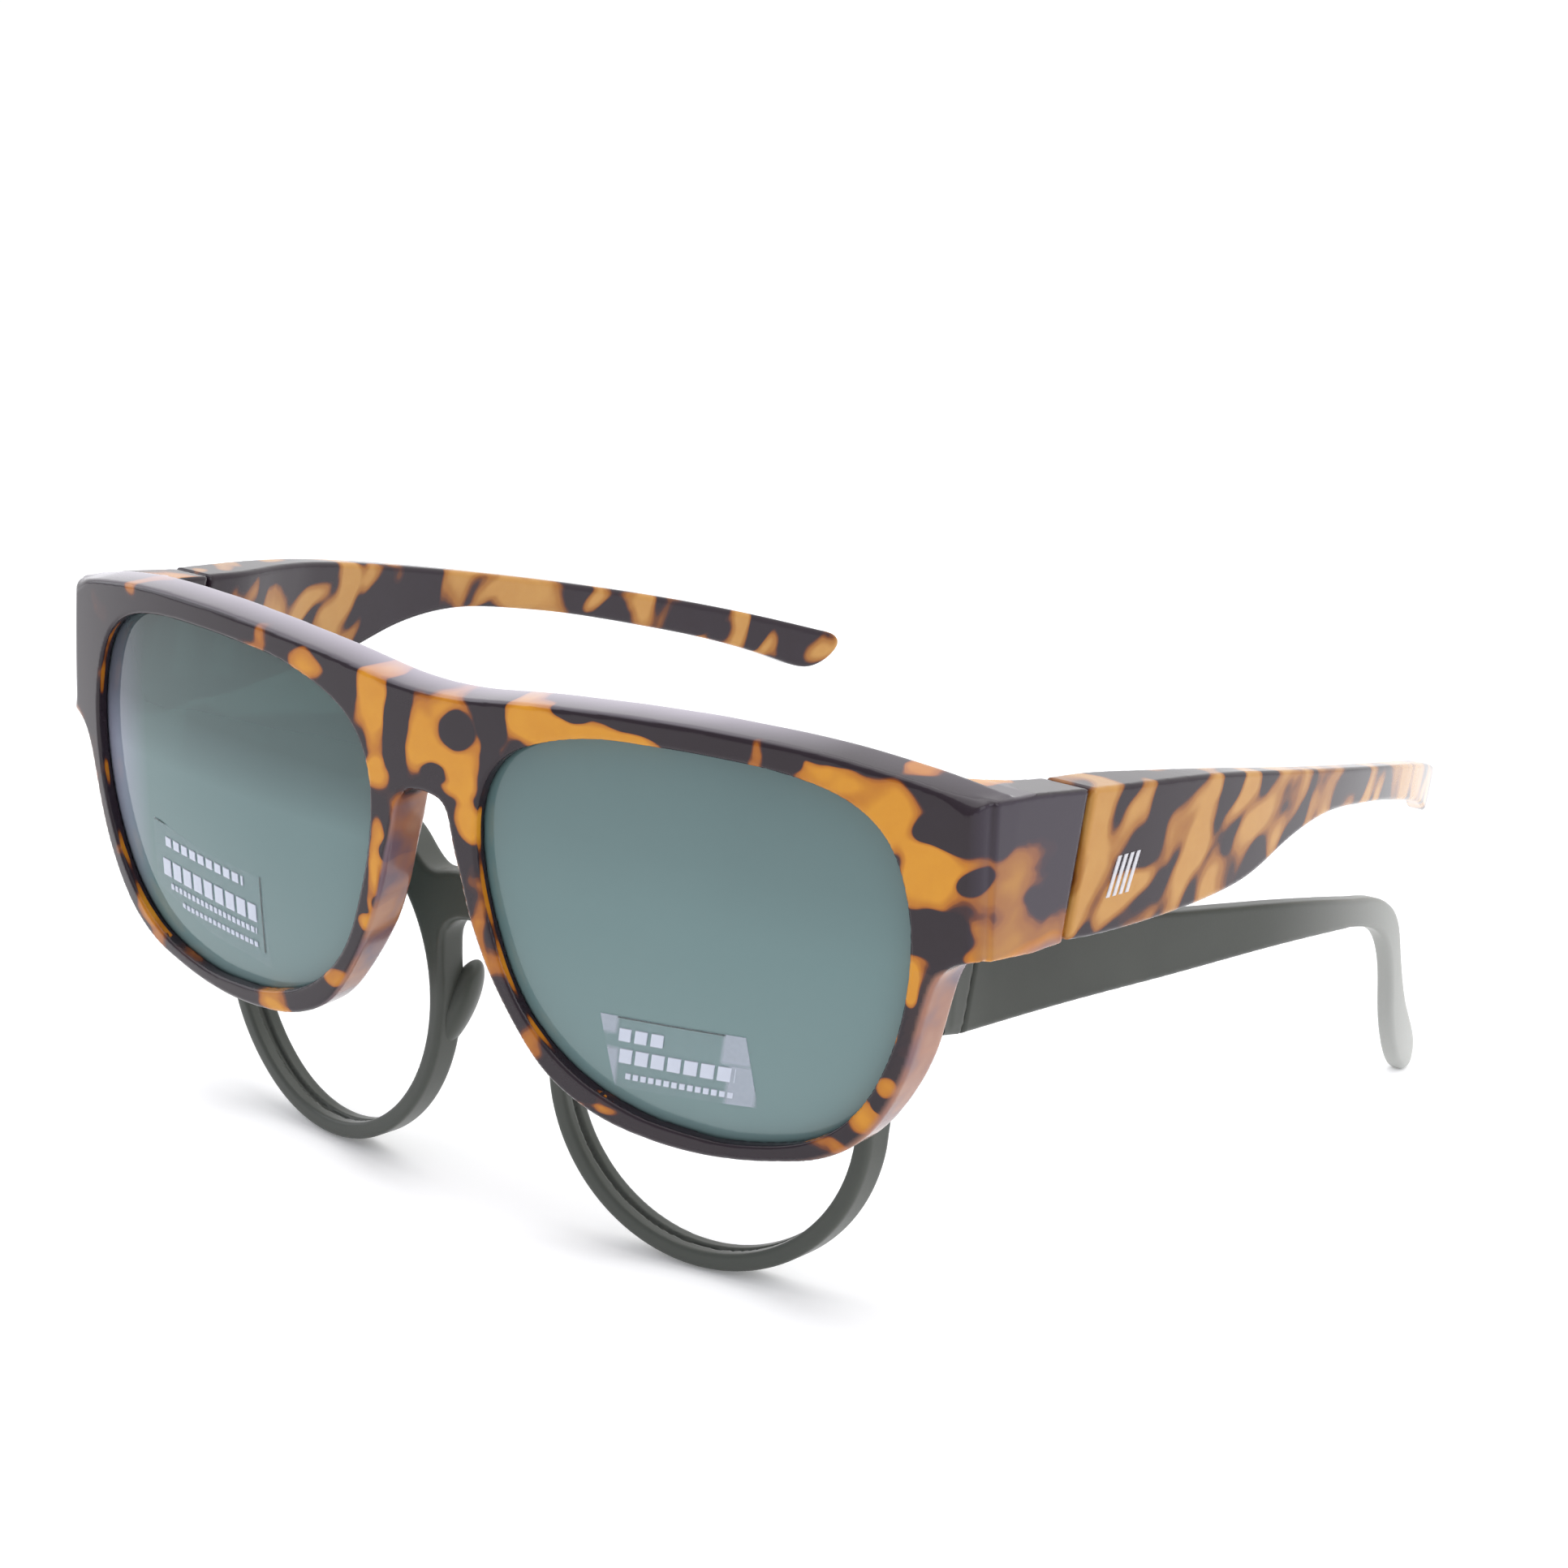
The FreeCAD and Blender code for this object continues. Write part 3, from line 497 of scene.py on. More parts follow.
        # painted reflection on the end pieces' sides and the top faces
        col = k.mix(k.math("MULTIPLY", side_painted_reflection, 0.4), col, srgb(58, 50, 68))
        col = k.mix(top_painted_reflection, col, srgb(206, 198, 212))
    micro = k.noise(pos, 2.2, 3.0, 0.6)
    bump = k.new("ShaderNodeBump", inputs={"Height": micro.outputs["Fac"], "Strength": 0.05, "Distance": 0.00003})
    rough = k.math("MULTIPLY_ADD", tint.outputs["Fac"], 0.06, 0.13)
    b = k.new("ShaderNodeBsdfPrincipled")
    k.set(b, "Base Color", col)
    k.set(b, "Roughness", rough)
    k.set(b, "Normal", bump.outputs[0])
    b.inputs["IOR"].default_value = 1.5
    b.inputs["Specular IOR Level"].default_value = 0.36
    b.inputs["Coat Weight"].default_value = 0.06
    b.inputs["Coat Roughness"].default_value = 0.06
    o = k.new("ShaderNodeOutputMaterial")
    nt.links.new(b.outputs[0], o.inputs[0])
    return m


def olive(name):
    m, nt = mat(name)
    k = N(nt)
    tc = k.new("ShaderNodeTexCoord")
    pos = k.vmath("SCALE", tc.outputs["Object"], scale=1000.0)
    big = k.noise(pos, 0.05, 2.0, 0.5)
    fine = k.noise(pos, 3.5, 3.0, 0.6)
    col = k.ramp(big.outputs["Fac"], [(0.3, srgb(46, 49, 43)[:3]), (0.7, srgb(56, 59, 53)[:3])])
    # paler towards the ends of the temples, and a little paler at the front
    sy = k.new("ShaderNodeSeparateXYZ", inputs={"Vector": pos})
    tail = k.new("ShaderNodeMapRange", inputs={"Value": sy.outputs[1], "From Min": 2.0, "From Max": 50.0}).outputs[0]
    fore = k.new("ShaderNodeMapRange", inputs={"Value": sy.outputs[1], "From Min": -50.0, "From Max": -60.0}).outputs[0]
    col = k.mix(k.math("MULTIPLY", fore, 0.6), col, srgb(88, 91, 86))
    col = k.mix(k.math("MULTIPLY", k.math("MULTIPLY", tail, tail), 0.85), col, srgb(206, 207, 203))
    col = k.mix(k.math("MULTIPLY", fine.outputs["Fac"], 0.12), col, (0.5, 0.5, 0.48, 1.0), "MULTIPLY")
    bump = k.new("ShaderNodeBump", inputs={"Height": fine.outputs["Fac"], "Strength": 0.12, "Distance": 0.00004})
    rough = k.math("MULTIPLY_ADD", fine.outputs["Fac"], 0.10, 0.30)
    b = k.new("ShaderNodeBsdfPrincipled")
    k.set(b, "Base Color", col); k.set(b, "Roughness", rough); k.set(b, "Normal", bump.outputs[0])
    b.inputs["IOR"].default_value = 1.48
    b.inputs["Specular IOR Level"].default_value = 0.3
    o = k.new("ShaderNodeOutputMaterial")
    nt.links.new(b.outputs[0], o.inputs[0])
    return m


def lens_mat(name):
    m, nt = mat(name)
    k = N(nt)
    tc = k.new("ShaderNodeTexCoord")
    pos = k.vmath("SCALE", tc.outputs["Object"], scale=1000.0)
    sx = k.new("ShaderNodeSeparateXYZ", inputs={"Vector": pos})
    Z = sx.outputs[2]
    grad = k.math("DIVIDE", k.math("SUBTRACT", Z, 22.0), 50.0, clamp=True)
    soft = k.noise(pos, 0.04, 1.0, 0.5)
    g2 = k.math("ADD", grad, k.math("MULTIPLY", k.math("SUBTRACT", soft.outputs["Fac"], 0.5), 0.25))
    col = k.ramp(g2, [(0.0, srgb(119, 143, 143)[:3]), (0.5, srgb(105, 132, 132)[:3]), (1.0, srgb(92, 117, 117)[:3])])
    fine = k.noise(pos, 1.6, 2.0, 0.5)
    b = k.new("ShaderNodeBsdfPrincipled")
    k.set(b, "Base Color", col)
    k.set(b, "Roughness", k.math("MULTIPLY_ADD", fine.outputs["Fac"], 0.015, 0.03))
    b.inputs["IOR"].default_value = 1.5
    t = k.new("ShaderNodeBsdfTransparent")
    k.set(t, "Color", (0.20, 0.29, 0.275, 1.0))
    # denser towards the bottom
    see = k.ramp(grad, [(0.0, (0.06,) * 3), (0.56, (0.10,) * 3), (0.72, (0.55,) * 3), (1.0, (0.7,) * 3)])
    see = k.math("MULTIPLY", see, k.new("ShaderNodeMapRange", inputs={"Value": sx.outputs[0], "From Min": 6.0, "From Max": -6.0, "To Min": 0.12, "To Max": 1.0}).outputs[0])
    # painted reflection: the far lens turns pale lavender towards its outer edge
    edge = k.new("ShaderNodeMapRange", inputs={"Value": sx.outputs[0], "From Min": -57.0, "From Max": -68.0}).outputs[0]
    k.set(b, "Base Color", k.mix(k.math("MULTIPLY", edge, 0.95), col, srgb(170, 170, 192)))
    mx = k.new("ShaderNodeMixShader")
    k.set(mx, 0, see)
    nt.links.new(b.outputs[0], mx.inputs[1]); nt.links.new(t.outputs[0], mx.inputs[2])
    gl = k.new("ShaderNodeBsdfGlossy"); gl.inputs["Roughness"].default_value = 0.03
    fr = k.new("ShaderNodeFresnel"); fr.inputs["IOR"].default_value = 1.5
    # gloss over the see-through part
    m2 = k.new("ShaderNodeMixShader")
    k.set(m2, 0, k.math("MULTIPLY", fr.outputs[0], see))
    nt.links.new(mx.outputs[0], m2.inputs[1]); nt.links.new(gl.outputs[0], m2.inputs[2])
    o = k.new("ShaderNodeOutputMaterial")
    nt.links.new(m2.outputs[0], o.inputs[0])
    return m


def metal(name, base, rough):
    m, nt = mat(name)
    k = N(nt)
    tc = k.new("ShaderNodeTexCoord")
    pos = k.vmath("SCALE", tc.outputs["Object"], scale=1000.0)
    st = k.new("ShaderNodeMapping", inputs={"Vector": pos, "Scale": (1.0, 1.0, 12.0)})
    br = k.noise(st.outputs[0], 1.5, 4.0, 0.6)
    col = k.ramp(br.outputs["Fac"], [(0.3, tuple(c * 0.82 for c in base)), (0.7, base)])
    bump = k.new("ShaderNodeBump", inputs={"Height": br.outputs["Fac"], "Strength": 0.15, "Distance": 0.00003})
    b = k.new("ShaderNodeBsdfPrincipled")
    k.set(b, "Base Color", col); b.inputs["Metallic"].default_value = 1.0
    k.set(b, "Roughness", k.math("MULTIPLY_ADD", br.outputs["Fac"], 0.15, rough)); k.set(b, "Normal", bump.outputs[0])
    o = k.new("ShaderNodeOutputMaterial")
    nt.links.new(b.outputs[0], o.inputs[0])
    return m


M_FRONT = tortoise("tortoise_front")
M_TEMPLE = tortoise("tortoise_temple", front=False, shift=(31.0, 7.0, 3.0), amount=0.012, stops=CREAM, squash=(1.0, 0.55, 1.25), scale=0.17)
M_HOST = olive("host_olive")
M_LENS = lens_mat("lens_grey_green")
M_HINGE = metal("hinge_metal", (0.62, 0.62, 0.63), 0.28)
M_SCREW = metal("screw_metal", (0.55, 0.55, 0.56), 0.22)

# ---------------------------------------------------------------- fields
top = cubic(TOP)
low = cubic(LOW)
half = np.vstack([top, low])
full = np.vstack([half[::-1], half * np.array([-1, 1])])
G_out = Field(full, (-1.5, -30), (79, 28))
ap = cubic(AP, closed=True)
G_ap = Field(ap, (-1.5, -30), (79, 28))
plan = np.array([(61, 3), (75.0, 3), (75.05, 7), (75.4, 12), (76.05, 25.3), (76.3, 30), (69.4, 30), (69.2, 25.3), (68.6, 20.0),
                 (66.6, 15.5), (63.5, 12.5), (60.0, 10.5)])
G_plan = Field(plan, (55, -2), (79, 32))
side = np.array([(4.6, 24.0), (10.3, 5.9), (19.8, 6.9), (25.3, 8.0), (25.3, 26.15), (15.0, 25.4)])
G_side = Field(side, (-2, 0), (32, 30))

qc, cc = math.sin(PHI_C), math.cos(PHI_C)
qh, ch = math.sin(PHI_H), math.cos(PHI_H)


def f_cover(x, v, m):
    ax = np.abs(x)
    do, da = G_out(ax, v), G_ap(ax, v)
    D = 4.6 + 1.7 * step(-26, -8, v)
    rf = 0.55 + 1.35 * step(69.5, 74.0, ax) * step(1, 6, v)
    f = rmax(do, -m, rf)
    f = np.maximum(f, rmax(-da, -m, 0.35))
    f = rmax(f, m - D, 0.7)
    f = np.maximum(f, -np.maximum(da - 0.86, np.abs(m - 2.8) - 0.95))
    if np.max(ax) > 57:
        n = m + wrap_c(ax, v)
        Y, Z = -qc * v + cc * n, cc * v + qc * n
        e = rmax(G_plan(ax, Y), G_side(Y, Z), 0.5)
        e = rmax(e, 2.2 - m, 0.3)
        e = np.maximum(e, 1.4 - da)
        f = smin(f, e, 0.5)
    return f


prof = np.vstack([cubic(T_TOP), cubic(T_END)[::-1], cubic(T_BOT)[::-1]])
G_prof = Field(prof, (22, 4), (161, 33))


TH_Y = np.linspace(25.7, 158, 300)
TH_FINE = np.stack([TH_Y, np.convolve(np.pad(np.interp(TH_Y, *np.array(T_TH).T), 5, mode="edge"), np.ones(11) / 11, "valid")], 1)


def t_x(y):
    s = (y - 25.0) / 132.0
    return 76.3 - 0.1512 * (y - 25.0) + 39.6 * s * (1 - s)


def t_th(y):
    return np.interp(y, TH_FINE[:, 0], TH_FINE[:, 1])


def f_temple(u, y, z):
    d = G_prof(y, z)
    f = rmax(d, -u, 0.55)
    return rmax(f, u - t_th(y), 0.8)


CTI, STI = math.cos(H_TILT), math.sin(H_TILT)
h_low = [tuple(p) for p in H_OUT_LOW] + [(H_RC[0] + CTI * H_RO * math.cos(a), H_RC[1] + H_RO * math.sin(a))
                                         for a in np.radians(np.linspace(0, -178, 23))] + H_NOSE
h_half = np.vstack([cubic(H_OUT_TOP), cubic(h_low)])
h_full = np.vstack([h_half[::-1], h_half * np.array([-1, 1])])
G_host = Field(h_full, (-1.5, -48), (68, 11))
hplan = np.array([(60.2, 20.9), (62.2, 20.05), (64.3, 20.05), (64.9, 20.8), (64.9, 24.9), (64.95, 30), (61.3, 30), (61.2, 24.9), (60.9, 22.9)])
G_hplan = Field(hplan, (56, 14), (68, 32))
N_RC = float(wrap_h(np.array(H_RC[0])))


def f_host(x, v, m):
    ax = np.abs(x)
    do = G_host(ax, v)
    n = m + wrap_h(ax, v)
    dc = np.hypot((ax - H_RC[0]) * CTI + (n - N_RC) * STI, v - H_RC[1]) - H_RI
    f = rmax(rmax(do, -m, 0.75), m - H_DEPTH, 0.8)
    f = np.maximum(f, rmax(rmax(-dc, -m, 0.45), m - H_DEPTH, 0.45))
    f = np.maximum(f, -np.maximum(dc - 0.6, np.abs(m - 2.25) - 0.45))
    if np.max(ax) > 54:
        Y, Z = -qh * v + ch * n + Y_H, ch * v + qh * n
        f = np.maximum(f, -np.maximum(np.maximum(55.9 - ax, ax - 61.2), np.maximum(23.0 - Y, -9.0 - Z)))
        f = np.maximum(f, -np.maximum(55.9 - ax, np.maximum(24.9 - Y, -12.0 - Z)))
        e = rmax(G_hplan(ax, Y), np.maximum(-5.6 - Z, Z - 7.3), 0.5)
        e = rmax(e, Y - 24.9, 0.25)
        f = smin(f, e, 0.4)
    return f


hprof = np.vstack([cubic(HT_TOP), cubic(HK_OUT), cubic(HK_IN), cubic(HT_BOT)[::-1]])
G_hprof = Field(hprof, (22, -22), (141, 13))


def ht_x(y):
    return 64.9 + 0.058 * (y - 25.3) - 0.0009 * np.maximum(y - 112, 0) ** 2


def ht_th(y):
    return np.interp(y, [25.3, 35, 60, 90, 110, 125, 160], [3.6, 3.3, 3.0, 3.0, 2.9, 2.6, 2.6])


def f_htemple(u, y, z):
    f = rmax(G_hprof(y, z), -u, 0.6)
    return rmax(f, u - ht_th(y), 0.7)


Ry = Matrix.Rotation(math.radians(-16), 3, "Y")
Rz = Matrix.Rotation(math.radians(-24), 3, "Z")
RP = np.array(Rz @ Ry)


def f_pad(x, y, z):
    p = np.stack(np.broadcast_arrays(x - 10.2, y - 22.9, z + 20.4), -1) @ RP
    r = np.array([2.2, 3.3, 6.6])
    k0 = np.linalg.norm(p / r, axis=-1); k1 = np.linalg.norm(p / r ** 2, axis=-1)
    e = k0 * (k0 - 1) / np.maximum(k1, 1e-6)
    # clear of the rim opening
    v = ch * z - qh * (y - Y_H)
    n = ch * (y - Y_H) + qh * z
    dc = np.hypot((x - H_RC[0]) * CTI + (n - N_RC) * STI, v - H_RC[1]) - H_RI
    return rmax(e, -dc + 1.0, 0.3)


# ---------------------------------------------------------------- meshes
h0 = 0.4
P, Q = surface(f_cover, (-77.5, -29, -1.2), (77.5, 27.2, 23.5), h0)
X, Y, Z = F_T(P[:, 0], P[:, 1], P[:, 2] + wrap_c(P[:, 0], P[:, 1]), PHI_C)
make("cover_front_shell", T_world(X, Y, Z), Q[:, ::-1], M_FRONT, "cover", "cover_front")

P, Q = surface(f_temple, (-1.2, 24.5, 5), (8.2, 159, 31), h0)
V = T_world(t_x(P[:, 1]) - P[:, 0], P[:, 1], P[:, 2])
make("cover_temple_left_shell", V, Q[:, ::-1], M_TEMPLE, "cover_left_temple", "cover_temple_left")
V2, Q2 = mirror(V, Q[:, ::-1])
make("cover_temple_right_shell", V2, Q2, M_TEMPLE, "cover_right_temple", "cover_temple_right")

P, Q = surface(f_host, (-66.5, -47, -1.2), (66.5, 9.6, 7.5), h0 * 0.875)
X, Y, Z = F_T(P[:, 0], P[:, 1], P[:, 2] + wrap_h(P[:, 0], P[:, 1]), PHI_H, Y_H)
make("host_front_shell", T_world(X, Y, Z), Q[:, ::-1], M_HOST, "host", "host_front")

P, Q = surface(f_htemple, (-1.2, 24, -21), (5.2, 140, 12), h0)
V = T_world(ht_x(P[:, 1]) - P[:, 0], P[:, 1], P[:, 2])
make("host_temple_left_shell", V, Q[:, ::-1], M_HOST, "host_left_temple", "host_temple_left")
V2, Q2 = mirror(V, Q[:, ::-1])
make("host_temple_right_shell", V2, Q2, M_HOST, "host_right_temple", "host_temple_right")

P, Q = surface(f_pad, (3, 18, -30), (14, 32, -12), 0.35)
V = T_world(P[:, 0], P[:, 1], P[:, 2])
make("host_nose_pad_left_shell", V, Q, M_HOST, "host", "host_nose_pad_left")
V2, Q2 = mirror(V, Q)
make("host_nose_pad_right_shell", V2, Q2, M_HOST, "host", "host_nose_pad_right")


# lenses: domed discs with a rounded edge
def lens(side):
    o = np.array(ap)
    t = np.roll(o, -1, 0) - np.roll(o, 1, 0)
    t /= np.linalg.norm(t, axis=1)[:, None]
    area = np.sum(o[:, 0] * np.roll(o[:, 1], -1) - np.roll(o[:, 0], -1) * o[:, 1])
    s = 1.0 if area > 0 else -1.0
    nrm = np.stack([t[:, 1], -t[:, 0]], 1) * s
    edge = o + nrm * 0.78
    c = edge.mean(0)
    K = 26
    rows = []
    for k in range(1, K + 1):
        r = k / K
        rows.append((c + (edge - c) * r, 1.9))
    M = len(edge)
    verts = [(c[0], c[1], 1.9)]
    for q, m in rows:
        verts += [(a, b, m) for a, b in q]
    verts += [(a, b, 1.9 + 0.25) for a, b in edge + nrm * 0.02]
    verts += [(a, b, 3.7 - 0.25) for a, b in edge + nrm * 0.02]
    base_back = len(verts)
    for q, m in rows[::-1]:
        verts += [(a, b, 3.7) for a, b in q]
    verts += [(c[0], c[1], 3.7)]
    faces = []
    for j in range(M):
        faces.append((0, 1 + j, 1 + (j + 1) % M))
    nrows = K + 2 + K
    for k in range(nrows - 1):
        a = 1 + k * M; b = a + M
        for j in range(M):
            j2 = (j + 1) % M
            faces.append((a + j, b + j, b + j2, a + j2))
    last = len(verts) - 1
    a = 1 + (nrows - 1) * M
    for j in range(M):
        faces.append((a + j, last, a + (j + 1) % M))
    v = np.array(verts, float)
    X, Y, Z = F_T(v[:, 0], v[:, 1], v[:, 2] + wrap_c(v[:, 0], v[:, 1]), PHI_C)
    W = T_world(X, Y, Z)
    if side < 0:
        W[:, 0] *= -1
        faces = [f[::-1] for f in faces]
    return W, faces


for sd, nm in ((1, "left"), (-1, "right")):
    W, Fc = lens(sd)
    ob = make("cover_lens_%s_shell" % nm, W, Fc, M_LENS, "cover", "cover_lens_" + nm)
    bm_ok = ob.data
    bm_ok.update()

import bmesh
for o in bpy.data.objects:
    if o.type == "MESH" and o.name.startswith("cover_lens_") and o.name.endswith("_shell"):
        bm = bmesh.new(); bm.from_mesh(o.data)
        bmesh.ops.recalc_face_normals(bm, faces=bm.faces)
        bm.to_mesh(o.data); bm.free()

# ---------------------------------------------------------------- metal nodes
for n, o in frame["nodes"].items():
    if "screw" in n or "hinge" in n:
        o.data.materials.clear()
        o.data.materials.append(M_SCREW if "screw" in n else M_HINGE)


# clear labels and the temple mark: plain film with frosted patches and blank bars, no text
def film(name, e0, slope, rows, patches, line_v, line_x, slant=0.0):
    m, nt = mat(name)
    k = N(nt)
    tc = k.new("ShaderNodeTexCoord")
    pos = k.vmath("SCALE", tc.outputs["Object"], scale=1000.0)
    loc = k.vmath("SUBTRACT", pos, SHIFT)
    sx = k.new("ShaderNodeSeparateXYZ", inputs={"Vector": loc})
    vn = k.new("ShaderNodeVectorMath"); vn.operation = "DOT_PRODUCT"
    k.set(vn, 0, loc); k.set(vn, 1, F_V)
    X = sx.outputs[0]
    V_ = k.math("SUBTRACT", vn.outputs["Value"], k.math("MULTIPLY_ADD", X, slope, e0))
    Xs = k.math("MULTIPLY_ADD", V_, -slant, X)

    def band(val, a, b, soft=0.08):
        lo = k.new("ShaderNodeMapRange", inputs={"Value": val, "From Min": a - soft, "From Max": a + soft}).outputs[0]
        hi = k.new("ShaderNodeMapRange", inputs={"Value": val, "From Min": b + soft, "From Max": b - soft}).outputs[0]
        return k.math("MULTIPLY", lo, hi)

    total = None
    for (x0, x1, v0, v1, period, duty) in rows:
        g = k.math("MULTIPLY", band(Xs, x0, x1), band(V_, v0, v1))
        if period:
            fr = k.math("FRACT", k.math("DIVIDE", k.math("SUBTRACT", Xs, x0), period))
            g = k.math("MULTIPLY", g, k.math("LESS_THAN", fr, duty))
        total = g if total is None else k.math("MAXIMUM", total, g)
    fro = 0.0
    for (x0, x1, v0, v1) in patches:
        g = k.math("MULTIPLY", band(Xs, x0, x1, 0.3), band(V_, v0, v1, 0.3))
        fro = k.math("MAXIMUM", g, fro)
    dark = k.math("MULTIPLY", band(V_, line_v - 0.09, line_v + 0.09, 0.05), band(X, line_x[0], line_x[1]))
    if len(line_x) > 2:
        dark = k.math("MAXIMUM", dark, k.math("MULTIPLY", band(X, line_x[1] - 0.2, line_x[1], 0.05), band(V_, line_x[2], line_v)))
    grain = k.noise(pos, 1.8, 2.0, 0.5)
    alpha = k.math("MAXIMUM", k.math("MULTIPLY", total, 0.86), k.math("MULTIPLY", fro, 0.34))
    alpha = k.math("ADD", alpha, k.math("MULTIPLY", grain.outputs["Fac"], 0.05))
    alpha = k.math("MAXIMUM", alpha, k.math("MULTIPLY", dark, 0.7))
    col = k.mix(dark, (0.66, 0.70, 0.80, 1), srgb(52, 70, 62))
    b = k.new("ShaderNodeBsdfPrincipled")
    k.set(b, "Base Color", col)
    b.inputs["Roughness"].default_value = 0.4
    t = k.new("ShaderNodeBsdfTransparent")
    mx = k.new("ShaderNodeMixShader")
    k.set(mx, 0, alpha)
    nt.links.new(t.outputs[0], mx.inputs[1]); nt.links.new(b.outputs[0], mx.inputs[2])
    o = k.new("ShaderNodeOutputMaterial")
    nt.links.new(mx.outputs[0], o.inputs[0])
    return m


M_LABEL_L = film("label_film_left", -14.57, 0.064,
                 [(29.0, 35.5, -3.2, -1.5, 2.3, 0.74), (29.4, 45.6, -6.1, -4.2, 2.3, 0.78), (30.6, 46.0, -8.2, -7.4, 1.1, 0.66)],
                 [(25.8, 28.6, -2.3, 0.4), (27.4, 29.2, -9.2, -4.2), (43.4, 47.4, -3.8, 0.4), (44.6, 48.6, -9.4, -3.8)], -0.12, (28.5, 43.5), 0.18)
M_LABEL_R = film("label_film_right", -11.1, -0.05,
                 [(-53.5, -36.0, -2.2, -0.9, 1.9, 0.7), (-54.5, -33.6, -6.6, -4.2, 2.4, 0.76), (-53.0, -33.8, -8.3, -7.5, 1.0, 0.66),
                  (-50.5, -33.6, -10.2, -9.5, 1.0, 0.66)],
                 [], 0.9, (-56.0, -32.3, -10.6), 0.0)


def mark_mat():
    m, nt = mat("mark_print")
    k = N(nt)
    tc = k.new("ShaderNodeTexCoord")
    pos = k.vmath("SCALE", tc.outputs["Object"], scale=1000.0)
    loc = k.vmath("SUBTRACT", pos, SHIFT)
    ty = k.new("ShaderNodeVectorMath"); ty.operation = "DOT_PRODUCT"
    k.set(ty, 0, loc); k.set(ty, 1, (0.0, CT, -ST))
    tz = k.new("ShaderNodeVectorMath"); tz.operation = "DOT_PRODUCT"
    k.set(tz, 0, loc); k.set(tz, 1, (0.0, ST, CT))
    yy = k.math("SUBTRACT", ty.outputs["Value"], 31.0)
    zz = k.math("SUBTRACT", k.math("SUBTRACT", tz.outputs["Value"], 13.5), k.math("MULTIPLY", yy, 0.196))
    u_ = k.math("SUBTRACT", k.math("SUBTRACT", yy, 0.15), k.math("MULTIPLY", zz, 0.2))
    bar = k.math("LESS_THAN", k.math("FRACT", k.math("DIVIDE", u_, 1.15)), 0.52)
    bar = k.math("MULTIPLY", bar, k.math("MULTIPLY", k.math("GREATER_THAN", u_, 0.0), k.math("LESS_THAN", u_, 4.3)))
    grain = k.noise(pos, 2.0, 2.0, 0.5)
    a = k.math("MULTIPLY", bar, k.math("MULTIPLY_ADD", grain.outputs["Fac"], 0.25, 0.55))
    b = k.new("ShaderNodeBsdfPrincipled")
    k.set(b, "Base Color", k.mix(grain.outputs["Fac"], (0.74, 0.74, 0.80, 1), (0.84, 0.83, 0.84, 1)))
    b.inputs["Roughness"].default_value = 0.5
    t = k.new("ShaderNodeBsdfTransparent")
    mx = k.new("ShaderNodeMixShader")
    k.set(mx, 0, a)
    nt.links.new(t.outputs[0], mx.inputs[1]); nt.links.new(b.outputs[0], mx.inputs[2])
    o = k.new("ShaderNodeOutputMaterial")
    nt.links.new(mx.outputs[0], o.inputs[0])
    return m


for n, mm in (("cover_lens_label_left", M_LABEL_L), ("cover_lens_label_right", M_LABEL_R), ("cover_temple_mark", mark_mat())):
    o = frame["nodes"][n]
    o.data.materials.clear(); o.data.materials.append(mm)

# ---------------------------------------------------------------- stage, light, camera
def stage_floor():
    s = 4.0
    me = bpy.data.meshes.new("floor")
    me.from_pydata([(-s, -s, 0), (s, -s, 0), (s, s, 0), (-s, s, 0)], [], [(0, 1, 2, 3)])
    ob = bpy.data.objects.new("floor", me)
    bpy.context.scene.collection.objects.link(ob)
    m, nt = mat("floor_pale")
    k = N(nt)
    b = k.new("ShaderNodeBsdfPrincipled")
    b.inputs["Base Color"].default_value = (0.97, 0.97, 0.97, 1)
    b.inputs["Roughness"].default_value = 0.9
    b.inputs["Specular IOR Level"].default_value = 0.0
    b.inputs["Emission Color"].default_value = (1, 1, 1, 1)
    b.inputs["Emission Strength"].default_value = 0.14
    o = k.new("ShaderNodeOutputMaterial")
    nt.links.new(b.outputs[0], o.inputs[0])
    me.materials.append(m)


stage_floor()
w = bpy.data.worlds.new("studio")
bpy.context.scene.world = w
w.use_nodes = True
nt = w.node_tree
nt.nodes.clear()
k = N(nt)
tc = k.new("ShaderNodeTexCoord")
sp = k.new("ShaderNodeSeparateXYZ", inputs={"Vector": tc.outputs["Generated"]})
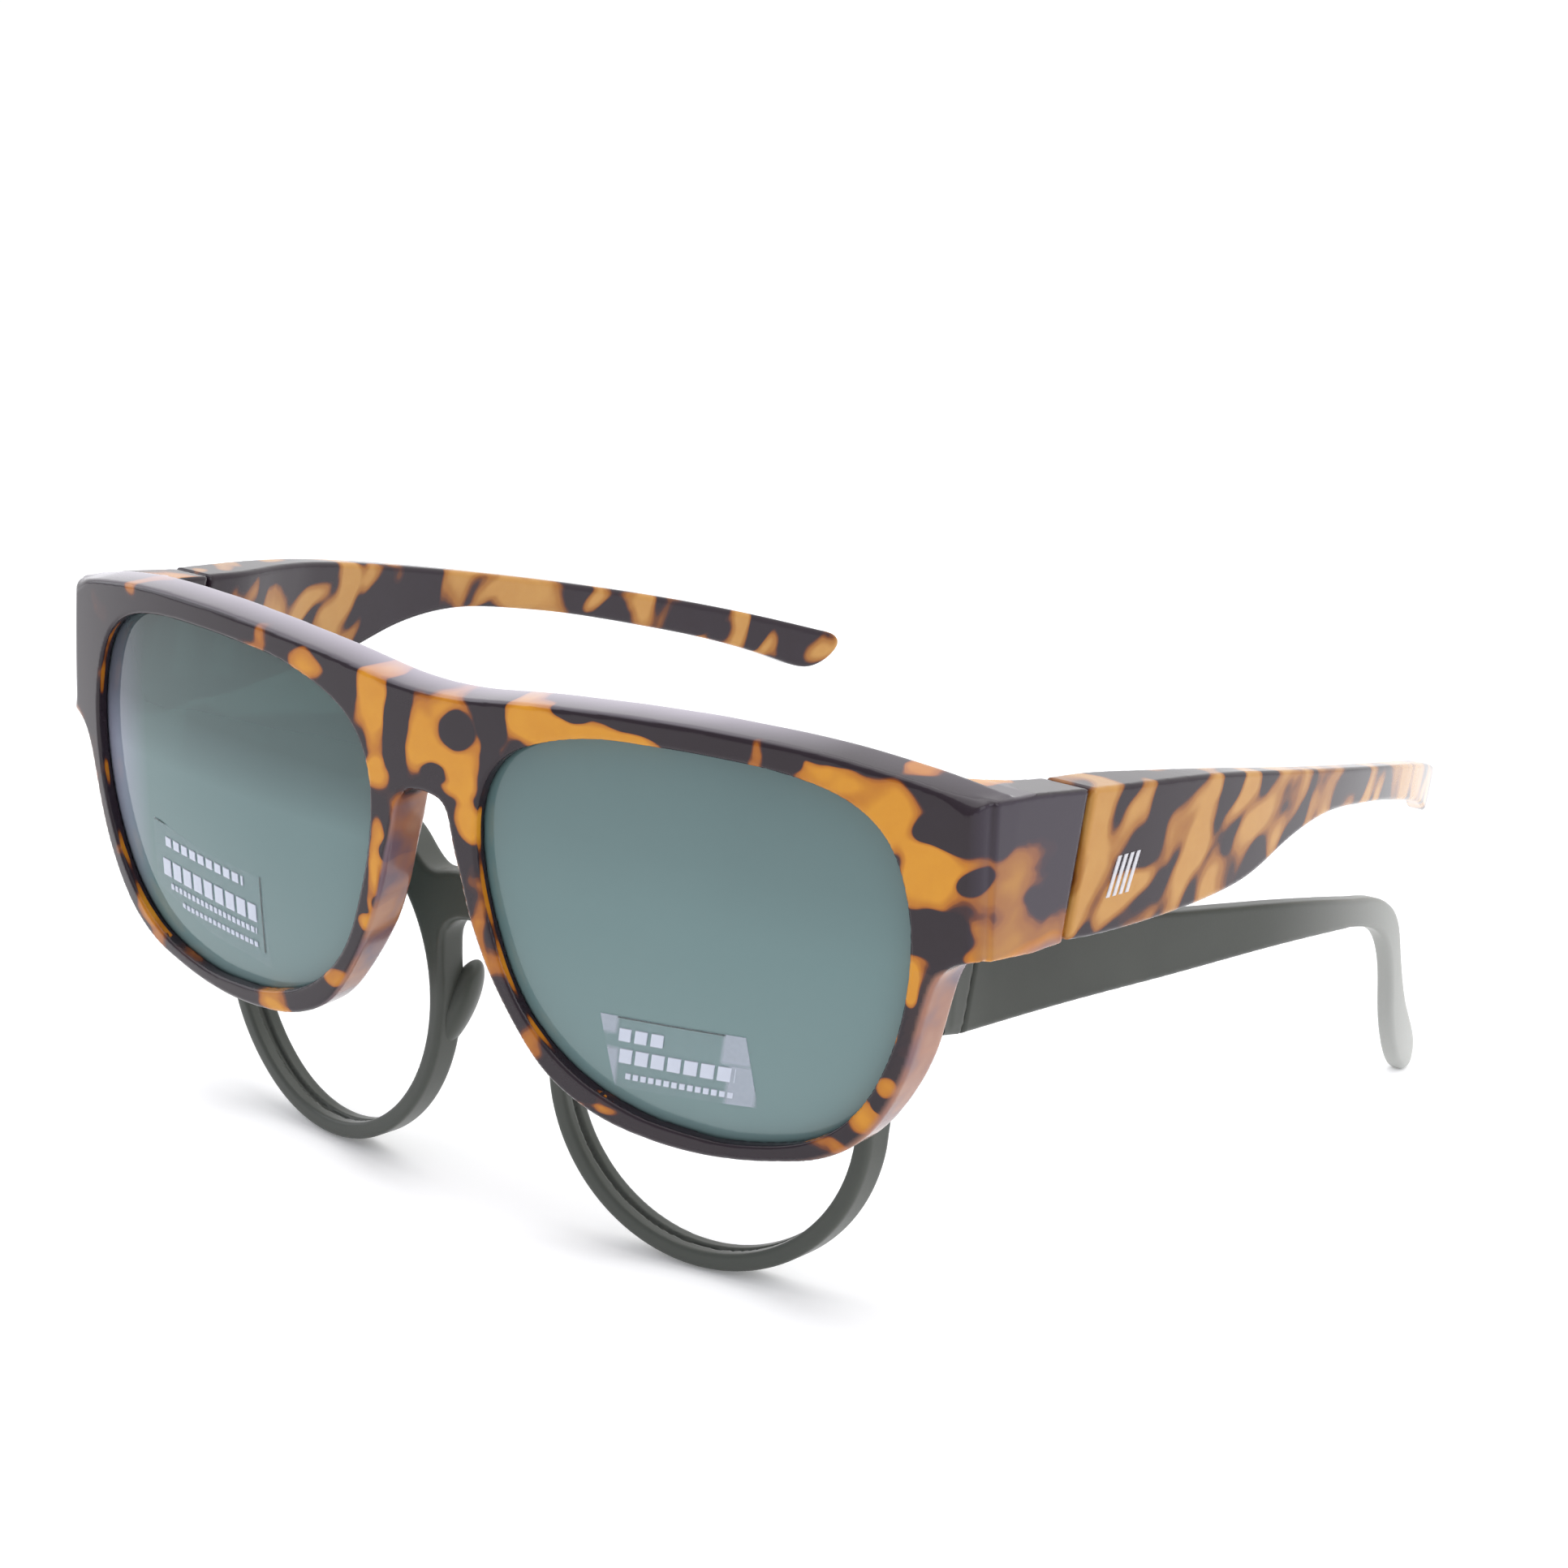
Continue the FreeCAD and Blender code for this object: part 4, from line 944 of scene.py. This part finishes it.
# bright above and behind the object, dimmer on the camera's side
back = k.math("MULTIPLY_ADD", sp.outputs[1], 0.5, 0.5, clamp=True)
up = k.math("ABSOLUTE", sp.outputs[2])
back = k.math("MULTIPLY_ADD", up, 0.22, back, clamp=True)
colr = k.ramp(back, [(0.0, (0.50, 0.51, 0.55)), (0.42, (0.66, 0.67, 0.72)), (0.60, (1.0, 1.0, 1.02)), (1.0, (1.05, 1.05, 1.05))])
bg = k.new("ShaderNodeBackground")
k.set(bg, "Color", colr)
bg.inputs["Strength"].default_value = 1.0
wo = k.new("ShaderNodeOutputWorld")
nt.links.new(bg.outputs[0], wo.inputs[0])


def area(name, loc, target, size, power, colr=(1, 1, 1)):
    l = bpy.data.lights.new(name, "AREA")
    l.shape = "RECTANGLE"; l.size, l.size_y = size
    l.energy = power; l.color = colr
    o = bpy.data.objects.new(name, l)
    o.location = loc
    o.rotation_mode = "QUATERNION"
    o.rotation_quaternion = (Vector(target) - Vector(loc)).to_track_quat("-Z", "Y")
    bpy.context.scene.collection.objects.link(o)
    return o


area("top_box", (0.0, 0.1, 0.75), (0, 0, 0.03), (0.9, 0.9), 2.6)
area("left_box", (-0.75, -0.25, 0.45), (0, -0.02, 0.04), (0.5, 0.7), 1.5, (0.93, 0.95, 1.0))
area("right_box", (0.85, -0.1, 0.5), (0, 0, 0.04), (0.5, 0.7), 1.5, (0.95, 0.96, 1.0))

C = (273.7316, -312.4599, 65.6606)
R = (0.79196454, 0.58715483, 0.1674556)
U = (-0.20268958, -0.00588229, 0.97922537)
FW = (-0.57594193, 0.80945328, -0.1143516)


def rot(v):
    return Vector((v[0], v[1] * CT + v[2] * ST, -v[1] * ST + v[2] * CT))


cam = bpy.data.cameras.new("camera")
cam.sensor_fit = "HORIZONTAL"; cam.sensor_width = 36.0
cam.lens = 4216.22 / 1932 * 36.0
cam.clip_start, cam.clip_end = 0.01, 50.0
co = bpy.data.objects.new("camera", cam)
bpy.context.scene.collection.objects.link(co)
r, u, fw = rot(R), rot(U), rot(FW)
loc = T_world(*[np.array(c) for c in C])
Mx = Matrix(((r[0], u[0], -fw[0], loc[0]), (r[1], u[1], -fw[1], loc[1]), (r[2], u[2], -fw[2], loc[2]), (0, 0, 0, 1)))
co.matrix_world = Mx
bpy.context.scene.camera = co
bpy.context.scene.view_settings.view_transform = "Standard"

bpy.context.view_layer.update()
